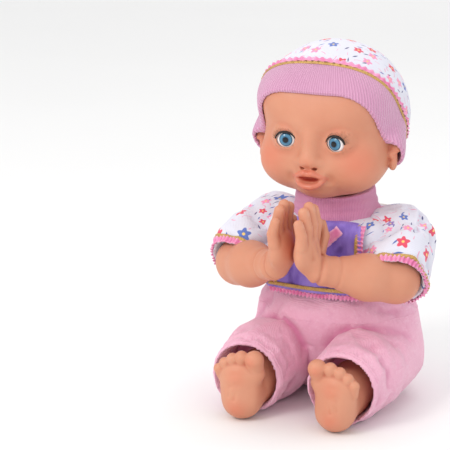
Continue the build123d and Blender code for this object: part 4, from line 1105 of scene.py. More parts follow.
# ---------------------------------------------------------------- romper
OPENING_HALF = 34.6
OPENING_LOW = span("battery_door")[0][2] - 4.6
OPENING_HIGH = span("battery_door")[1][2] + 5.1
POCKET_FLOOR = 20.0


def cut_back_opening(clay):
    """Cut the opening at the back that shows the battery cover."""
    x, y, z = clay.grid
    beside = np.abs(x) - OPENING_HALF
    over = np.maximum(OPENING_LOW - z, z - OPENING_HIGH)
    inside = np.maximum(np.maximum(beside, over), POCKET_FLOOR - y)
    clay.trim(-inside)


CHEST_TOP = span("romper_bodice")[1][2]
WAIST = 63.0
SEAT_TOP = span("romper_seat")[1][2] + 5.0
HEM_X = 37.0
HEM_HEIGHT = 28.0
HEM_END = -86.0


def slab(clay, centre, half, corner):
    """Distance to a box with rounded corners."""
    over = [
        np.abs(axis - middle) - (reach - corner)
        for axis, middle, reach in zip(clay.grid, centre, half)
    ]
    outside = np.sqrt(sum(np.maximum(part, 0) ** 2 for part in over))
    inside = np.minimum(np.maximum(np.maximum(over[0], over[1]), over[2]), 0)
    return outside + inside - corner


def chest_shape(clay, grow=0.0):
    """The stuffed chest as a distance, grown by an amount."""
    upper = slab(clay, (0, 0, 100.0), (49.0 + grow, 36.8 + grow, 36.0 + grow), 15.0)
    lower = clay.egg((0, 0.0, 82.0), (54.5 + grow, 42.0 + grow, 34.0 + grow))
    return union(lower, upper, 14.0)


def sculpt_trousers():
    """Seat and both legs of the romper, cut apart along the middle seam."""
    clay = Clay((-70, -92, -2), (70, 52, 96), 3.0)
    clay.add(clay.egg((0, 3.0, 42.0), (59.5, 43.0, 47.0)))
    clay.add(clay.egg((0, -4.0, 66.0), (56.0, 41.0, 30.0)), 12)
    for side in (-1, 1):
        hip = HIP * (side, 1, 1)
        knee = np.array((side * 37.5, -48.0, 29.5))
        hem = np.array((side * HEM_X, HEM_END - 2.0, HEM_HEIGHT))
        clay.add(clay.finger(hip, knee, 29.5, 28.6), 7)
        clay.add(clay.finger(knee, hem, 28.4, 26.8), 4)
    _, y, z = clay.grid
    clay.trim(0.6 - z)
    clay.trim(z - SEAT_TOP)
    clay.trim(HEM_END - y)
    cut_back_opening(clay)
    piece = shell_of(clay, "romper_trousers", 2)

    def held(points):
        top = smooth_step(points[:, 2], SEAT_TOP - 5, SEAT_TOP - 1)
        hem = smooth_step(-points[:, 1], 80.0, 84.0)
        floor = smooth_step(-points[:, 2], -3.0, -1.0)
        near = np.abs(points[:, 0]) - OPENING_HALF
        door = smooth_step(points[:, 1], 12.0, 18.0) * smooth_step(-near, -7.0, -2.0)
        door *= smooth_step(points[:, 2], OPENING_LOW - 8.0, OPENING_LOW - 3.0)
        return np.maximum(np.maximum(top, hem), np.maximum(floor, door))

    swell(piece, held, pressure=2.5, slack=0.075, cap=4.5)
    subdivide(piece)
    points = mesh_points(piece)
    points[:, 2] = np.maximum(points[:, 2], 0.5)
    set_points(piece, points)
    return piece


def half_of(piece, name, side):
    """The half of a piece on one side of the middle plane, as a new object."""
    mesh = piece.data.copy()
    work = bmesh.new()
    work.from_mesh(mesh)
    bmesh.ops.bisect_plane(
        work,
        geom=work.verts[:] + work.edges[:] + work.faces[:],
        plane_co=(0, 0, 0),
        plane_no=(side, 0, 0),
        clear_inner=True,
    )
    work.to_mesh(mesh)
    work.free()
    return add_piece(name, mesh)


def hollow_hem(piece):
    """Open the hem of each trouser leg: push the end cap back inside the leg."""
    points = mesh_points(piece)
    for side in (-1, 1):
        across = points[:, 0] - side * HEM_X
        up = points[:, 2] - HEM_HEIGHT
        radius = np.hypot(across, up)
        near = (points[:, 1] < -80.0) & (np.abs(across) < 30.0)
        inside = near & (radius < 24.2)
        points[inside, 1] += 30.0 * smooth_step(24.2 - radius[inside], 0.0, 3.0)
    set_points(piece, points)


trousers = sculpt_trousers()
hollow_hem(trousers)
trouser_halves = {
    name: half_of(trousers, f"{name}_romper_leg", side) for side, name in SIDES
}
bpy.data.objects.remove(trousers)


def sculpt_bodice():
    clay = Clay((-62, -50, 76), (62, 50, 142), 1.6)
    clay.add(chest_shape(clay))
    x, y, z = clay.grid
    clay.trim(83.5 - z)
    clay.trim(z - CHEST_TOP - 3.0)
    cut_back_opening(clay)
    switch_low, switch_high = span("power_slider")
    beside = np.maximum(switch_low[0] - 5.4 - x, x - switch_high[0] - 5.4)
    over = np.maximum(switch_low[2] - 1.0 - z, z - switch_high[2] - 1.0)
    inside = np.maximum(np.maximum(beside, over), POCKET_FLOOR - y)
    clay.trim(-inside)
    return shell_of(clay, "jersey_bodice", 3)


def sculpt_bib():
    """The velour bib, a soft layer on the front of the chest with a few drape folds."""
    clay = Clay((-50, -56, 82), (50, 6, 143), 0.9)
    clay.add(chest_shape(clay, 3.4))
    x, y, z = clay.grid
    half_width = 33.0 + (CHEST_TOP - z) * 0.12
    clay.trim(np.abs(x) - half_width)
    clay.trim(y + 4.0)
    clay.trim(84.0 - z)
    clay.trim(z - CHEST_TOP - 2.0)
    for start, end, depth in (
        ((33, -30, 134), (6, -42, 104), 2.2),
        ((31, -32, 120), (13, -44, 90), 1.8),
        ((-33, -30, 134), (-12, -42, 108), 1.8),
        ((-31, -32, 118), (-18, -42, 90), 1.5),
    ):
        clay.press(clay.finger(start, end, 0.5, 0.5), depth, 3.4)
    clay.trim(-chest_shape(clay, 0.4))
    return shell_of(clay, "velour_bib", 4)


def sculpt_collar():
    """A tall soft collar that stands round the neck and leans into the chin."""
    low, high = span("collar")
    clay = Clay((-40, -42, low[2] - 4), (40, 40, high[2] + 9), 0.9)
    base = np.array((0, -1.0, low[2] + 1.0))
    top = np.array((0, -3.0, high[2] + 3.0))
    outer = clay.finger(base, top, 33.0, 29.0)
    clay.add(outer)
    clay.cut(clay.finger(base - (0, 0, 10), top + (0, 0, 12), 24.0, 24.5), 3.0)
    x, y, z = clay.grid
    clay.trim(low[2] - 0.5 - z)
    clay.trim(z - high[2] - 5.5 - 0.08 * y)
    for height, depth in ((low[2] + 5.0, 1.0), (low[2] + 11.5, 0.8)):
        ring = np.abs(z - height - 0.10 * x + 0.06 * y)
        clay.press(ring, depth, 1.9)
    piece = shell_of(clay, "knit_collar", 5)
    push_out(piece, 0.5 * ripple(mesh_points(piece), 17.0, 5))
    return piece


bodice = sculpt_bodice()
bib = sculpt_bib()
collar = sculpt_collar()


def sculpt_sleeve(side, name):
    """A puff sleeve, gathered at the shoulder seam and at the cuff."""
    clay = Clay((22, -66, 74), (90, 26, 152), 2.4)
    end = SLEEVE_END
    clay.add(clay.finger(BALL + (-4, 1, 1), end, 23.0, 23.5))
    clay.add(clay.finger((33, 0, 122), BALL, 17.0, 20.0), 8)
    run = UPPER_ARM
    x, y, z = clay.grid
    along = (x - end[0]) * run[0] + (y - end[1]) * run[1] + (z - end[2]) * run[2]
    clay.trim(along - 13.0)
    clay.trim(29.0 - x + 0 * along)
    piece = shell_of(clay, f"{name}_jersey_sleeve", 2)

    def held(points):
        shoulder = smooth_step(-points[:, 0], -34.0, -31.0)
        out = (points - end) @ run
        return np.maximum(shoulder, smooth_step(out, 9.0, 12.0))

    swell(piece, held, pressure=3.0, slack=0.09, cap=4.0)
    points = mesh_points(piece)
    out = (points - end) @ run
    radius_vector = points - end - np.outer(out, run)
    radius = np.linalg.norm(radius_vector, axis=1)
    cap_points = (out > 10.5) & (radius < 20.5)
    points[cap_points] -= np.outer(
        14.0 * smooth_step(20.5 - radius[cap_points], 0.0, 4.0), run
    )
    set_points(piece, points)
    subdivide(piece)
    if side < 0:
        points = mesh_points(piece)
        points[:, 0] *= -1
        set_points(piece, points)
        piece.data.flip_normals()
    return piece


sleeves = {name: sculpt_sleeve(side, name) for side, name in SIDES}


# ---------------------------------------------------------------- painted masks
def paint(piece, name, values):
    layer = piece.data.attributes.get(name) or piece.data.attributes.new(name, "FLOAT", "POINT")
    layer.data.foreach_set("value", np.asarray(values, np.float32))


def keep_flat(piece, places):
    """Keep a place on the flat cloth for each point, in millimetres."""
    layer = piece.data.attributes.new("flat_mm", "FLOAT_VECTOR", "POINT")
    layer.data.foreach_set("vector", places.astype(np.float32).ravel())


def lay_flat(piece, across, along):
    keep_flat(piece, np.stack([across, along, np.zeros(len(across))], axis=1))


def lay_round(piece, centre, axis, radius):
    """Lay a rounded piece flat from a pole: turn and distance are kept along the surface."""
    axis = unit(np.array(axis))
    first = unit(np.cross(axis, (0.31, 0.95, 0.05)))
    second = np.cross(axis, first)
    offset = mesh_points(piece) - centre
    reach = np.linalg.norm(offset, axis=1)
    lean = np.arccos(np.clip(offset @ axis / np.maximum(reach, 1e-6), -1, 1))
    turn = np.arctan2(offset @ second, offset @ first)
    lay_flat(piece, radius * lean * np.cos(turn), radius * lean * np.sin(turn))


def paint_relief(piece, rounds, full):
    """Paint creases as hollow and the crests of folds as ridge, from how the surface bends. The
    finishes darken the hollows as painted shade and lighten the ridges as painted highlight.
    """
    count = len(piece.data.vertices)
    ends = np.empty(len(piece.data.edges) * 2, np.int64)
    piece.data.edges.foreach_get("vertices", ends)
    first, second = ends.reshape(-1, 2).T
    share = np.bincount(first, minlength=count) + np.bincount(second, minlength=count)

    def spread(values):
        total = np.zeros_like(values)
        np.add.at(total, first, values[second])
        np.add.at(total, second, values[first])
        return total / np.maximum(share, 1).reshape(-1, *([1] * (values.ndim - 1)))

    points = mesh_points(piece)
    smooth = points
    for _ in range(rounds):
        smooth = spread(smooth)
    height = np.sum((points - smooth) * mesh_normals(piece), axis=1)
    for _ in range(3):
        height = spread(height)
    paint(piece, "hollow", np.clip(-height / full, 0, 1))
    paint(piece, "ridge", np.clip(height / full - 0.4, 0, 1))


def finish_with(piece, material):
    piece.data.materials.clear()
    piece.data.materials.append(material)


def ball_mask(points, centre, radius):
    """1 at a centre and 0 beyond a radius, falling smoothly."""
    away = np.linalg.norm(points - np.array(centre), axis=1)
    return 1 - smooth_step(away, 0.0, radius)


def paint_head():
    points = mesh_points(head)
    spots = near_shape(points)
    _, cy, cz = HEAD_CENTRE
    blush = np.zeros(len(points))
    for side in (-1, 1):
        cheek = (side * 33.0, cy - 40.0, cz - 22.0)
        blush = np.maximum(blush, ball_mask(points, cheek, 22.0))
        blush = np.maximum(blush, 0.9 * ball_mask(points, (side * 52.0, cy - 10.0, cz - 17.0), 15.0))
        lid = (side * EYE[0], EYE[1] - EYE_RADIUS, EYE[2] + 7.0)
        blush = np.maximum(blush, 0.5 * ball_mask(points, lid, 9.0))
    nose_tip = (0, EYE[1] - EYE_RADIUS - 4.0, EYE[2] - NOSE_DROP)
    blush = np.maximum(blush, 0.55 * ball_mask(points, nose_tip, 9.0))
    blush = np.maximum(blush, 0.6 * ball_mask(points, (0, cy - 46.0, cz - 46.0), 11.0))
    lips = np.minimum(lip(spots, UPPER_LIP), lip(spots, LOWER_LIP))
    hollow = mouth_opening(spots)
    lip_share = 1 - smooth_step(lips, 0.1, 1.3)
    inner = 1 - smooth_step(hollow, 0.05, 0.7)
    # Painted shade darkens the nostrils.
    nostril = np.zeros(len(points))
    for side in (-1, 1):
        place = (side * 4.2, EYE[1] - EYE_RADIUS - 1.4, EYE[2] - 17.4)
        nostril = np.maximum(nostril, 0.55 * ball_mask(points, place, 3.2))
    paint(head, "blush", blush)
    paint(head, "lips", lip_share)
    paint(head, "deep", np.maximum(inner * 0.9, nostril))


def paint_limb(limb, palms, nails):
    """Warm soles, knuckles and heels, paler nails, and warm palms whose tint on the inner faces is
    painted shadow between the two facing hands.
    """
    points = mesh_points(limb)
    blush = np.zeros(len(points))
    for centre, radius, amount in palms:
        blush = np.maximum(blush, amount * ball_mask(points, centre, radius))
    nail = np.zeros(len(points))
    for centre, radius in nails:
        nail = np.maximum(nail, ball_mask(points, centre, radius))
    paint(limb, "blush", blush)
    paint(limb, "nail", nail)


# ---------------------------------------------------------------- eyes and lashes
GAZE_IN = math.radians(8.0)


def ring_mesh(name, rings, close_ends=True):
    """A mesh through rings of points, each ring closed, with its two ends filled."""
    count = len(rings[0])
    points = np.concatenate(rings)
    faces = []
    for ring in range(len(rings) - 1):
        base, above = ring * count, (ring + 1) * count
        for step in range(count):
            beside = (step + 1) % count
            faces.append((base + step, base + beside, above + beside, above + step))
    if close_ends:
        faces.append(tuple(range(count - 1, -1, -1)))
        faces.append(tuple(range((len(rings) - 1) * count, len(rings) * count)))
    mesh = bpy.data.meshes.new(name)
    mesh.from_pydata([tuple(point * MM) for point in points], [], faces)
    mesh.update()
    work = bmesh.new()
    work.from_mesh(mesh)
    bmesh.ops.recalc_face_normals(work, faces=work.faces[:])
    work.to_mesh(mesh)
    work.free()
    return add_piece(name, mesh)


def make_eye(side, name):
    """An eyeball with a clear bulge over its iris, turned a little inward."""
    eye_x, eye_y, eye_z = EYE
    centre = np.array((side * eye_x, eye_y, eye_z))
    gaze = unit(np.array((-side * math.sin(GAZE_IN), -math.cos(GAZE_IN), -0.02)))
    right = unit(np.cross(gaze, (0, 0, 1)))
    up = np.cross(right, gaze)
    segments = 96
    turns = np.arange(segments) * 2 * math.pi / segments
    leans = np.linspace(0.02, math.pi - 0.02, 64)
    rings = []
    for lean in leans:
        bulge = 0.55 * math.exp(-((lean / 0.36) ** 2))
        reach = EYE_RADIUS - 0.25 + bulge
        flat = np.outer(np.cos(turns), right) + np.outer(np.sin(turns), up)
        rings.append(centre + reach * (math.cos(lean) * gaze + math.sin(lean) * flat))
    eye = ring_mesh(f"{name}_glass_eye", rings)
    paint(eye, "iris_mm", np.repeat(leans * EYE_RADIUS, segments))
    spoke = 0.5 + 0.28 * np.sin(19 * turns) + 0.22 * np.sin(31 * turns + 1.0)
    paint(eye, "spoke", np.tile(spoke, len(leans)))
    finish_with(eye, EYE_GLASS)
    return eye


def lid_point(side, turn, out, lift):
    """A point along the edge of the lids, further out or in front of the eyeball."""
    eye_x, eye_y, eye_z = EYE
    across = side * EYE_GAP_SHIFT + (EYE_GAP[0] + out) * math.cos(turn)
    tall = -0.3 + (EYE_GAP[1] + out) * math.sin(turn)
    reach = EYE_RADIUS + lift
    depth = math.sqrt(max(4.0, reach**2 - across**2 - tall**2))
    return np.array((side * eye_x + across, eye_y - depth, eye_z + tall))


def make_lashes(side, name):
    """A crescent of black lash along the upper lid with a tail outward, and its single hairs."""
    first, last = math.radians(4), math.radians(176)
    if side < 0:
        first, last = math.pi - first, math.pi - last
    steps = 40
    rings = []
    for step in range(steps + 1):
        share = step / steps
        turn = first + (last - first) * share
        width = 0.15 + 0.85 * math.sin(math.pi * min(1.0, 0.12 + share * 0.88)) ** 0.7
        middle = lid_point(side, turn, 0.55, 1.25)
        upward = unit(lid_point(side, turn, 1.55, 1.2) - middle)
        front = unit(middle - np.array((side * EYE[0], EYE[1], EYE[2])))
        ring = []
        for corner in range(8):
            angle = corner * math.pi / 4
            lift = upward * width * math.cos(angle)
            ring.append(middle + lift + front * 0.32 * math.sin(angle))
        rings.append(np.array(ring))
    tail_end = lid_point(side, first, 2.9, 1.0) + (0, 0.6, -1.2)
    rings.insert(0, tail_end + (rings[0] - rings[0].mean(axis=0)) * 0.25)
    crescent = ring_mesh(f"{name}_lash_line", rings)
    hairs = []
    draw = np.random.default_rng(11 if side > 0 else 12)
    for step in range(26):
        share = (step + 0.5) / 26
        turn = first + (last - first) * share
        root = lid_point(side, turn, 0.9, 1.3)
        length = (1.4 + 1.5 * (1 - share)) * draw.uniform(0.85, 1.15)
        outward = lid_point(side, turn, 0.9 + length, 1.2) - root
        tip = root + outward + (side * 0.5 * (1 - share), -0.5, 0.25)
        bend = (root + tip) / 2 + (0, -0.45, 0.0)
        hairs.append([(root, 0.13), (bend, 0.10), (tip, 0.03)])
    pieces = [crescent]
    for number, hair in enumerate(hairs):
        rings = []
        for index, (place, thick) in enumerate(hair):
            turns = np.arange(5) * 2 * math.pi / 5
            run = unit(hair[min(index + 1, 2)][0] - hair[max(index - 1, 0)][0])
            beside = unit(np.cross(run, (0, 1, 0)))
            above = np.cross(run, beside)
            around = np.outer(np.cos(turns), beside) + np.outer(np.sin(turns), above)
            rings.append(place + thick * around)
        pieces.append(ring_mesh(f"{name}_lash_hair_{number}", rings))
    lashes = join(pieces, f"{name}_lashes")
    finish_with(lashes, LASH)
    return lashes


def join(pieces, name):
    """Several meshes as one object."""
    work = bmesh.new()
    for piece in pieces:
        work.from_mesh(piece.data)
    mesh = bpy.data.meshes.new(name)
    work.to_mesh(mesh)
    work.free()
    for piece in pieces:
        bpy.data.objects.remove(piece)
    return add_piece(name, mesh)


# ---------------------------------------------------------------- braid, ruched ribbon and piping
def meet(piece, starts, directions):
    """Where rays first meet a piece, with its outward directions there."""
    tree = BVHTree.FromPolygons(
        [tuple(point) for point in mesh_points(piece)],
        [tuple(polygon.vertices) for polygon in piece.data.polygons],
    )
    places, outs = [], []
    for start, direction in zip(starts, directions):
        place, normal, _, _ = tree.ray_cast(Vector(start), Vector(direction))
        if place is None:
            continue
        places.append(np.array(place))
        outs.append(np.array(normal))
    return np.array(places), even(np.array(outs))


def even(outs, rounds=4, closed=False):
    """Smooth a run of directions."""
    for _ in range(rounds):
        ahead = np.roll(outs, -1, axis=0)
        behind = np.roll(outs, 1, axis=0)
        if not closed:
            ahead[-1], behind[0] = outs[-1], outs[0]
        outs = units(outs + ahead + behind)
    return outs


def even_steps(path, outs, step, closed):
    """The same run with its points spaced evenly."""
    if closed:
        path = np.vstack([path, path[:1]])
        outs = np.vstack([outs, outs[:1]])
    lengths = np.r_[0, np.cumsum(np.linalg.norm(np.diff(path, axis=0), axis=1))]
    count = max(8, int(round(lengths[-1] / step)))
    marks = np.linspace(0, lengths[-1], count + (0 if closed else 1), endpoint=not closed)
    path, outs = (
        np.stack([np.interp(marks, lengths, rows[:, axis]) for axis in range(3)], axis=1)
        for rows in (path, outs)
    )
    return path, units(outs), marks, lengths[-1]


def sweep(name, path, outs, outline, step=0.45, closed=False):
    """Run an outline along a path. outline gives its (side, out) points from the run's length."""
    path, outs, marks, length = even_steps(path, outs, step, closed)
    ahead = np.roll(path, -1, axis=0)
    behind = np.roll(path, 1, axis=0)
    if not closed:
        ahead[-1], behind[0] = path[-1], path[0]
    sides = units(np.cross(units(ahead - behind), outs))
    rings = []
    for place, side, out, mark in zip(path, sides, outs, marks):
        local = outline(mark, length)
        rings.append(place + np.outer(local[:, 0], side) + np.outer(local[:, 1], out))
    if closed:
        rings.append(rings[0])
    piece = ring_mesh(name, rings, close_ends=not closed)
    if closed:
        work = bmesh.new()
        work.from_mesh(piece.data)
        bmesh.ops.remove_doubles(work, verts=work.verts[:], dist=1e-6)
        work.to_mesh(piece.data)
        work.free()
    return piece


def braid(name, path, outs, width, closed=False, shift=0.0, lift=0.5):
    """Flat gold braid with a scalloped edge and a raised twist."""
    turns = np.arange(14) * 2 * math.pi / 14

    def outline(mark, length):
        waves = max(6, round(length / 2.3))
        beat = 2 * math.pi * waves * mark / length
        wide = width / 2 * (1 + 0.16 * math.sin(2 * beat))
        thick = 0.55 + 0.22 * np.sin(2 * turns + beat) + 0.18 * math.sin(2 * beat + 1.0)
        return np.stack([shift + wide * np.cos(turns), lift + thick * np.sin(turns)], axis=1)

    piece = sweep(name, path, outs, outline, closed=closed)
    paint_relief(piece, 5, 0.25)
    finish_with(piece, GOLD)
    return piece


def ruche(name, path, outs, width, pleat, tall, closed=False, shift=0.0, lift=0.3):
    """Satin ribbon gathered into small standing pleats."""
    across = np.linspace(-1, 1, 9)

    def outline(mark, length):
        waves = max(6, round(length / pleat))
        beat = 2 * math.pi * waves * mark / length
        slow = math.sin(beat * 0.31 + 0.7) * 0.35
        wave = 0.5 + 0.5 * np.sin(beat + 0.9 * across**2 * np.sign(across) + slow)
        crown = 0.45 + 0.55 * np.abs(across)
        height = lift + tall * wave * crown
        side = shift + across * width / 2 + 0.28 * math.sin(beat + 1.2) * np.abs(across)
        top = np.stack([side, height + 0.2], axis=1)
        base = np.stack([side[::-1], height[::-1] - 0.2], axis=1)
        return np.vstack([top, base])

    piece = sweep(name, path, outs, outline, step=0.4, closed=closed)
    paint_relief(piece, 5, 0.35)
    finish_with(piece, RIBBON)
    return piece


def piping(name, path, outs, thick, material, closed=False, lift=0.0):
    """A fine rolled seam with its stitches."""
    turns = np.arange(10) * 2 * math.pi / 10

    def outline(mark, length):
        waves = max(8, round(length / 2.0))
        pinch = 1 - 0.22 * max(0.0, math.sin(2 * math.pi * waves * mark / length)) ** 4
        return np.stack([thick * pinch * np.cos(turns), lift + thick * pinch * np.sin(turns)], axis=1)

    piece = sweep(name, path, outs, outline, step=0.5, closed=closed)
    paint_relief(piece, 5, 0.3)
    finish_with(piece, material)
    return piece


# ---------------------------------------------------------------- colour and trim on every piece
def ring_about(centre, run, radius, count, first=0.0):
    """Points of a circle about a run, and the directions back to its middle."""
    run = unit(run)
    beside = unit(np.cross(run, (0, 0, 1)))
    above = np.cross(beside, run)
    turns = first + np.arange(count) * 2 * math.pi / count
    outward = np.outer(np.cos(turns), beside) + np.outer(np.sin(turns), above)
    return centre + radius * outward, -outward


def dress_head():
    paint_relief(head, 9, 0.9)
    paint_head()
    finish_with(head, VINYL)


def turns_about(piece, middle=(0.0, 0.0, 0.0)):
    """The turn of each point about an upright line, from the front."""
    offset = mesh_points(piece) - middle
    return np.arctan2(offset[:, 0], -offset[:, 1])


def hat_seam(level, count=220):
    """Points round the crown at one height over the hat's edge, found by halving."""
    turns = np.arange(count) * 2 * math.pi / count
    flat = np.stack([np.sin(turns), -np.cos(turns), np.zeros(count)], axis=1)
    low = np.full(count, math.radians(-50))
    high = np.full(count, math.radians(89))
    for _ in range(22):
        lean = (low + high) / 2
        direction = flat * np.cos(lean)[:, None] + np.outer(np.sin(lean), (0, 0, 1))
        near, far = np.full(count, 30.0), np.full(count, 80.0)
        for _ in range(20):
            reach = (near + far) / 2
            place = HEAD_CENTRE + direction * reach[:, None]
            inside = skull(near_shape(place), CROWN_LIFT) < 0
            near = np.where(inside, reach, near)
            far = np.where(inside, far, reach)
        place = HEAD_CENTRE + direction * near[:, None]
        under = slope_of(near_shape(place)) < level
        low = np.where(under, lean, low)
        high = np.where(under, high, lean)
    return place, direction


def dress_hat():
    """Colour the hat and sew its braid and ruched ribbon over the seam."""
    band_round = BAND_RIB_COUNT * BAND_RIB_PITCH / (2 * math.pi)
    turns = turns_about(hat_band, HEAD_CENTRE)
    lay_flat(hat_band, band_round * turns, slope_of(near_shape(mesh_points(hat_band))))
    push_out(hat_band, 0.35 * ripple(mesh_points(hat_band), 30.0, 21))
    paint_relief(hat_band, 8, 0.5)
    finish_with(hat_band, BAND_RIB)
    lay_round(hat_crown, HEAD_CENTRE, (0, 0.35, 1), HEAD_RADIUS + 3.0)
    push_out(hat_crown, 0.4 * ripple(mesh_points(hat_crown), 34.0, 22))
    paint_relief(hat_crown, 8, 0.5)
    finish_with(hat_crown, JERSEY)

    place, outs = hat_seam(BAND_WIDTH)
    gold = braid("hat_braid", place, outs, 2.6, closed=True, lift=0.3)
    place, outs = hat_seam(BAND_WIDTH + 2.7)
    ribbon = ruche("hat_ruche", place, outs, 3.4, 5.2, 1.5, closed=True, lift=0.1)
    return [gold, ribbon]


def dress_limbs():
    for side, name in SIDES:
        arm, leg = arms[name], legs[name]
        flip = np.array((side, 1, 1))
        # The first two warm spots lie on the inner palm and fingers and are painted shadow between the
        # two facing hands.
        palms = [
            (flip * (PALM + (-7.0, 0, 2.0)), 17.0, 0.9),
            (flip * (PALM + (-3.0, 0, 24.0)), 12.0, 0.5),
            (flip * (ELBOW + (6.0, -2.0, -12.0)), 14.0, 0.6),
        ]
        nails = []
        for across, tall, thick, lean in FINGERS:
            tip = PALM + (lean + 2.6, across * 1.04 + 0.6, tall - 0.4)
            nails.append((flip * tip, thick * 0.75))
        paint_relief(arm, 9, 0.55)
        paint_limb(arm, palms, nails)
        finish_with(arm, VINYL)
        sole = np.array((36.0, SOLE_Y, 25.0))
        soles = [
            (flip * (sole + (0, 0, -15.0)), 13.0, 0.8),
            (flip * (sole + (0, 0, 10.0)), 13.0, 0.6),
            (flip * (sole + (-11.0, 2.0, 21.0)), 8.0, 0.7),
        ]
        paint_relief(leg, 9, 0.55)
        paint_limb(leg, soles, [])
        finish_with(leg, VINYL)


def dress_romper():
    """Colour the romper and add its waist seam and hems."""
    trims = {"right": [], "left": []}
    for side, name in SIDES:
        half = trouser_halves[name]
        run = np.array((0.0, -1.0, 0.0))
        starts, inward = ring_about(np.array((side * HEM_X, HEM_END + 5.5, HEM_HEIGHT)), run, 45.0, 150)
        places, outs = meet(half, starts, inward)
        trims[name].append(
            piping(f"{name}_hem_stitch", places, outs, 0.55, WEAVE, closed=True, lift=-0.1)
        )
        turns = np.linspace(0.04, math.pi - 0.04, 110)
        outward = np.stack([side * np.sin(turns), -np.cos(turns), 0 * turns], axis=1)
        starts = outward * 110.0 + (0, 0, WAIST)
        places, outs = meet(half, starts, -outward)
        front = places[:, 1] < 30.0
        places, outs = places[front], outs[front]
        trims[name].append(piping(f"{name}_waist_seam", places, outs, 0.5, WEAVE, lift=-0.15))
        paint_relief(half, 10, 1.1)
        finish_with(half, WEAVE)
    return trims


def dress_bodice():
    """Colour the bodice, the bib and the collar."""
    lay_round(bodice, np.array((0, 0, 100.0)), (0, 1, 0), 40.0)
    paint_relief(bodice, 8, 0.6)
    finish_with(bodice, JERSEY)
    paint_relief(bib, 12, 0.7)
    finish_with(bib, VELOUR)
    collar_round = COLLAR_RIB_COUNT * COLLAR_RIB_LAY / (2 * math.pi)
    lay_flat(collar, collar_round * turns_about(collar), mesh_points(collar)[:, 2])
    paint_relief(collar, 8, 0.6)
    finish_with(collar, COLLAR_RIB)


def chest_run(across, heights, lift):
    """A run on the front of the chest, raised by a lift, with its outward directions."""
    starts = np.stack([across, np.full(len(across), -90.0), heights], axis=1)
    places, outs = meet(bodice, starts, np.tile((0.0, 1.0, 0.0), (len(across), 1)))
    return places + outs * lift, outs


def sew_bib():
    """The braid and the looped ribbon along the bottom of the bib."""
    across = np.linspace(-36, 36, 60)
    gold_run = chest_run(across, 0 * across + 87.4, 3.2)
    ribbon_run = chest_run(across, 0 * across + 84.2, 2.6)
    gold = braid("bib_braid", *gold_run, 2.8, lift=0.7)
    return gold, ruche("bib_loops", *ribbon_run, 4.2, 2.9, 1.7, lift=0.1)


def sew_shoulder(side, name):
    """The braid and the ruched ribbon down one side of the bib."""
    heights = np.linspace(88.0, CHEST_TOP - 1.5, 40)
    gold_run = chest_run(side * 30.6 + 0 * heights, heights, 3.0)
    ribbon_run = chest_run(side * 33.6 + 0 * heights, heights, 2.6)
    gold = braid(f"{name}_shoulder_braid", *gold_run, 2.6, lift=0.9)
    return gold, ruche(f"{name}_shoulder_ruche", *ribbon_run, 4.4, 3.0, 1.8, lift=0.1)


def make_ribbon_bow():
    """A flattened loop of ribbon on the bib."""
    turns = np.arange(48) * 2 * math.pi / 48
    long_half, short_half = 8.5, 1.5
    lengthwise = np.array((0.72, 0.0, 0.69))
    outward = np.array((0.0, -1.0, 0.0))
    path = middle_of("ribbon_loop") + (0, 2.0, 0) + np.outer(long_half * np.cos(turns), lengthwise)
    path += np.outer(short_half * np.sin(turns) + short_half, outward)
    outs = np.outer(short_half * np.cos(turns), lengthwise)
    outs += np.outer(long_half * np.sin(turns), outward)
    return ruche("ribbon_bow_loop", path, units(outs), 7.0, 12.0, 0.25, closed=True, lift=0.0)


def bind_opening():
    """A tape round the opening at the back."""
    edge = 1.2
    half, low, high = OPENING_HALF + edge, OPENING_LOW - edge, OPENING_HIGH + edge
    corners = ((half, low), (half, high), (-half, high), (-half, low))
    starts = []
    for first, second in zip(corners, corners[1:] + corners[:1]):
        for share in np.linspace(0, 1, 30, endpoint=False):
            spot = np.array(first) * (1 - share) + np.array(second) * share
            starts.append((spot[0], 90.0, spot[1]))
    cloth = (bodice, trouser_halves["left"], trouser_halves["right"])
    whole = join([copy_of(piece) for piece in cloth], "back")
    places, outs = meet(whole, starts, np.tile((0.0, -1.0, 0.0), (len(starts), 1)))
    bpy.data.objects.remove(whole)
    tape = piping("opening_tape", places, outs, 1.3, COLLAR_RIB, closed=True, lift=0.2)
    keep_flat(tape, mesh_points(tape))
    return tape


def copy_of(piece):
    twin = piece.copy()
    twin.data = piece.data.copy()
    bpy.context.scene.collection.objects.link(twin)
    return twin


def dress_sleeves():
    """Colour the sleeves and sew lace round their cuffs."""
    cuffs = {}
    run = UPPER_ARM
    for side, name in SIDES:
        sleeve = sleeves[name]
        flip = np.array((side, 1, 1))
        lay_round(sleeve, flip * (BALL + (0, -8, -4)), flip * np.array((1, -0.3, 0.6)), 24.0)
        paint_relief(sleeve, 10, 0.9)
        finish_with(sleeve, JERSEY)

        def cuff(along, lift):
            middle = flip * (SLEEVE_END + run * along)
            starts, inward = ring_about(middle, flip * run, 40.0, 130)
            places, outs = meet(sleeve, starts, inward)
            return places + outs * lift, outs

        places, outs = cuff(6.0, 0.0)
        gold = braid(f"{name}_cuff_braid", places, outs, 2.8, closed=True, lift=0.6)
        places, outs = cuff(8.8, 0.2)
        ribbon = ruche(f"{name}_cuff_ruche", places, outs, 4.6, 3.1, 1.9, closed=True, lift=0.1)
        cuffs[name] = [gold, ribbon]
    return cuffs


dress_head()
hat_trims = dress_hat()
dress_limbs()
eyes = {name: make_eye(side, name) for side, name in SIDES}
lashes = {name: make_lashes(side, name) for side, name in SIDES}
romper_trims = dress_romper()
dress_bodice()
bib_trims = sew_bib()
shoulder_trims = {name: sew_shoulder(side, name) for side, name in SIDES}
ribbon_bow = make_ribbon_bow()
opening_tape = bind_opening()
cuff_trims = dress_sleeves()


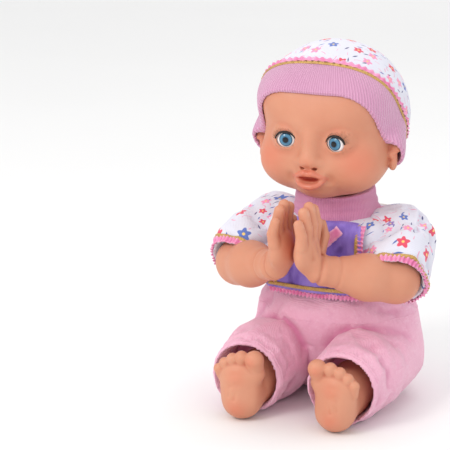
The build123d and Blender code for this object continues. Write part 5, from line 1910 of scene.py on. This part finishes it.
# ---------------------------------------------------------------- floor
FLOOR_LEVEL = float(CAD_BOX[0][2]) / MM
SLEEVE_BEND = np.array(((30.0, 0.0, 120.0), (48.0, -10.0, 118.0)))
HIP_BEND = np.array(((36.0, -22.7, 28.6), (36.0, -41.4, 13.7)))


def make_floor():
    """A pale floor that curves up into the backdrop."""
    rings = []
    for share in np.linspace(0, 1, 40):
        run = -3000.0 + 6500.0 * share
        rise = 0.0 if run < 1500.0 else 1400.0 * smooth_step(np.array(run), 1500.0, 3500.0)
        height = float(rise) + FLOOR_LEVEL
        rings.append([np.array((x, run, height)) for x in np.linspace(-3500, 3500, 9)])
    points = np.array(rings).reshape(-1, 3)
    faces = []
    for row in range(39):
        for column in range(8):
            start = row * 9 + column
            faces.append((start, start + 1, start + 10, start + 9))
    floor = make_mesh("studio_floor", points, np.array(faces))
    finish = Finish("paper_backdrop", Specular_IOR_Level=0.1)
    cloud = finish.noise(finish.where(), 0.4, 2.0)
    colour = finish.mix(cloud, (0.86, 0.86, 0.86), (0.90, 0.90, 0.90))
    finish.coat(colour, 0.9 + 0.05 * cloud)
    finish_with(floor, finish.material)
    return floor


# ---------------------------------------------------------------- what each piece stands for
def stand_for(piece, body, slot, *nodes):
    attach(piece, body)
    if nodes:
        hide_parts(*nodes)


def bend_between(piece, body, slot, start, end, *nodes):
    """A piece of cloth that crosses a joint between the trunk and a limb."""
    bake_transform(piece)
    if nodes:
        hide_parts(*nodes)


for thing in frame["nodes"].values():
    for place in thing.material_slots:
        wanted = place.material.name.split(".")[0]
        if wanted in INNER_FINISHES:
            place.material = INNER_FINISHES[wanted]

stand_for(head, "head", "skin_vinyl", "head_skin")
stand_for(hat_band, "head", "pink_rib", "hat_band")
stand_for(hat_crown, "head", "printed_jersey", "hat_crown")
stand_for(hat_trims[0], "head", "gold_lace", "hat_lace")
stand_for(hat_trims[1], "head", "pink_ribbon")
stand_for(collar, "trunk", "pink_rib", "collar")
stand_for(bib, "trunk", "purple_velour", "bib_panel")
stand_for(bodice, "trunk", "printed_jersey", "romper_bodice")
stand_for(bib_trims[0], "trunk", "gold_lace", "bib_lace")
stand_for(bib_trims[1], "trunk", "pink_ribbon")
stand_for(ribbon_bow, "trunk", "pink_ribbon", "ribbon_loop")
stand_for(opening_tape, "trunk", "pink_rib")
for side, name in SIDES:
    arm_body, leg_body = f"{name}_arm", f"{name}_leg"
    stand_for(eyes[name], "head", "eye_acrylic", f"{name}_eye")
    stand_for(lashes[name], "head", "component_black")
    stand_for(arms[name], arm_body, "skin_vinyl", f"{name}_arm_skin")
    stand_for(legs[name], leg_body, "skin_vinyl", f"{name}_leg_skin")
    stand_for(shoulder_trims[name][0], "trunk", "gold_lace", f"{name}_shoulder_lace")
    stand_for(shoulder_trims[name][1], "trunk", "pink_ribbon")
    stand_for(cuff_trims[name][0], arm_body, "gold_lace", f"{name}_cuff_lace")
    stand_for(cuff_trims[name][1], arm_body, "pink_ribbon")
    flip = np.array((side, 1, 1))
    bend_between(
        sleeves[name],
        arm_body,
        "printed_jersey",
        flip * SLEEVE_BEND[0],
        flip * SLEEVE_BEND[1],
        f"{name}_sleeve",
    )
    replaced = [f"{name}_trouser_leg"]
    if name == "left":
        replaced.append("romper_seat")
    bend_between(
        trouser_halves[name],
        leg_body,
        "pink_weave",
        flip * HIP_BEND[0],
        flip * HIP_BEND[1],
        *replaced,
    )
    stand_for(romper_trims[name][0], leg_body, "pink_weave")
    stand_for(romper_trims[name][1], "trunk", "pink_weave")
make_floor()
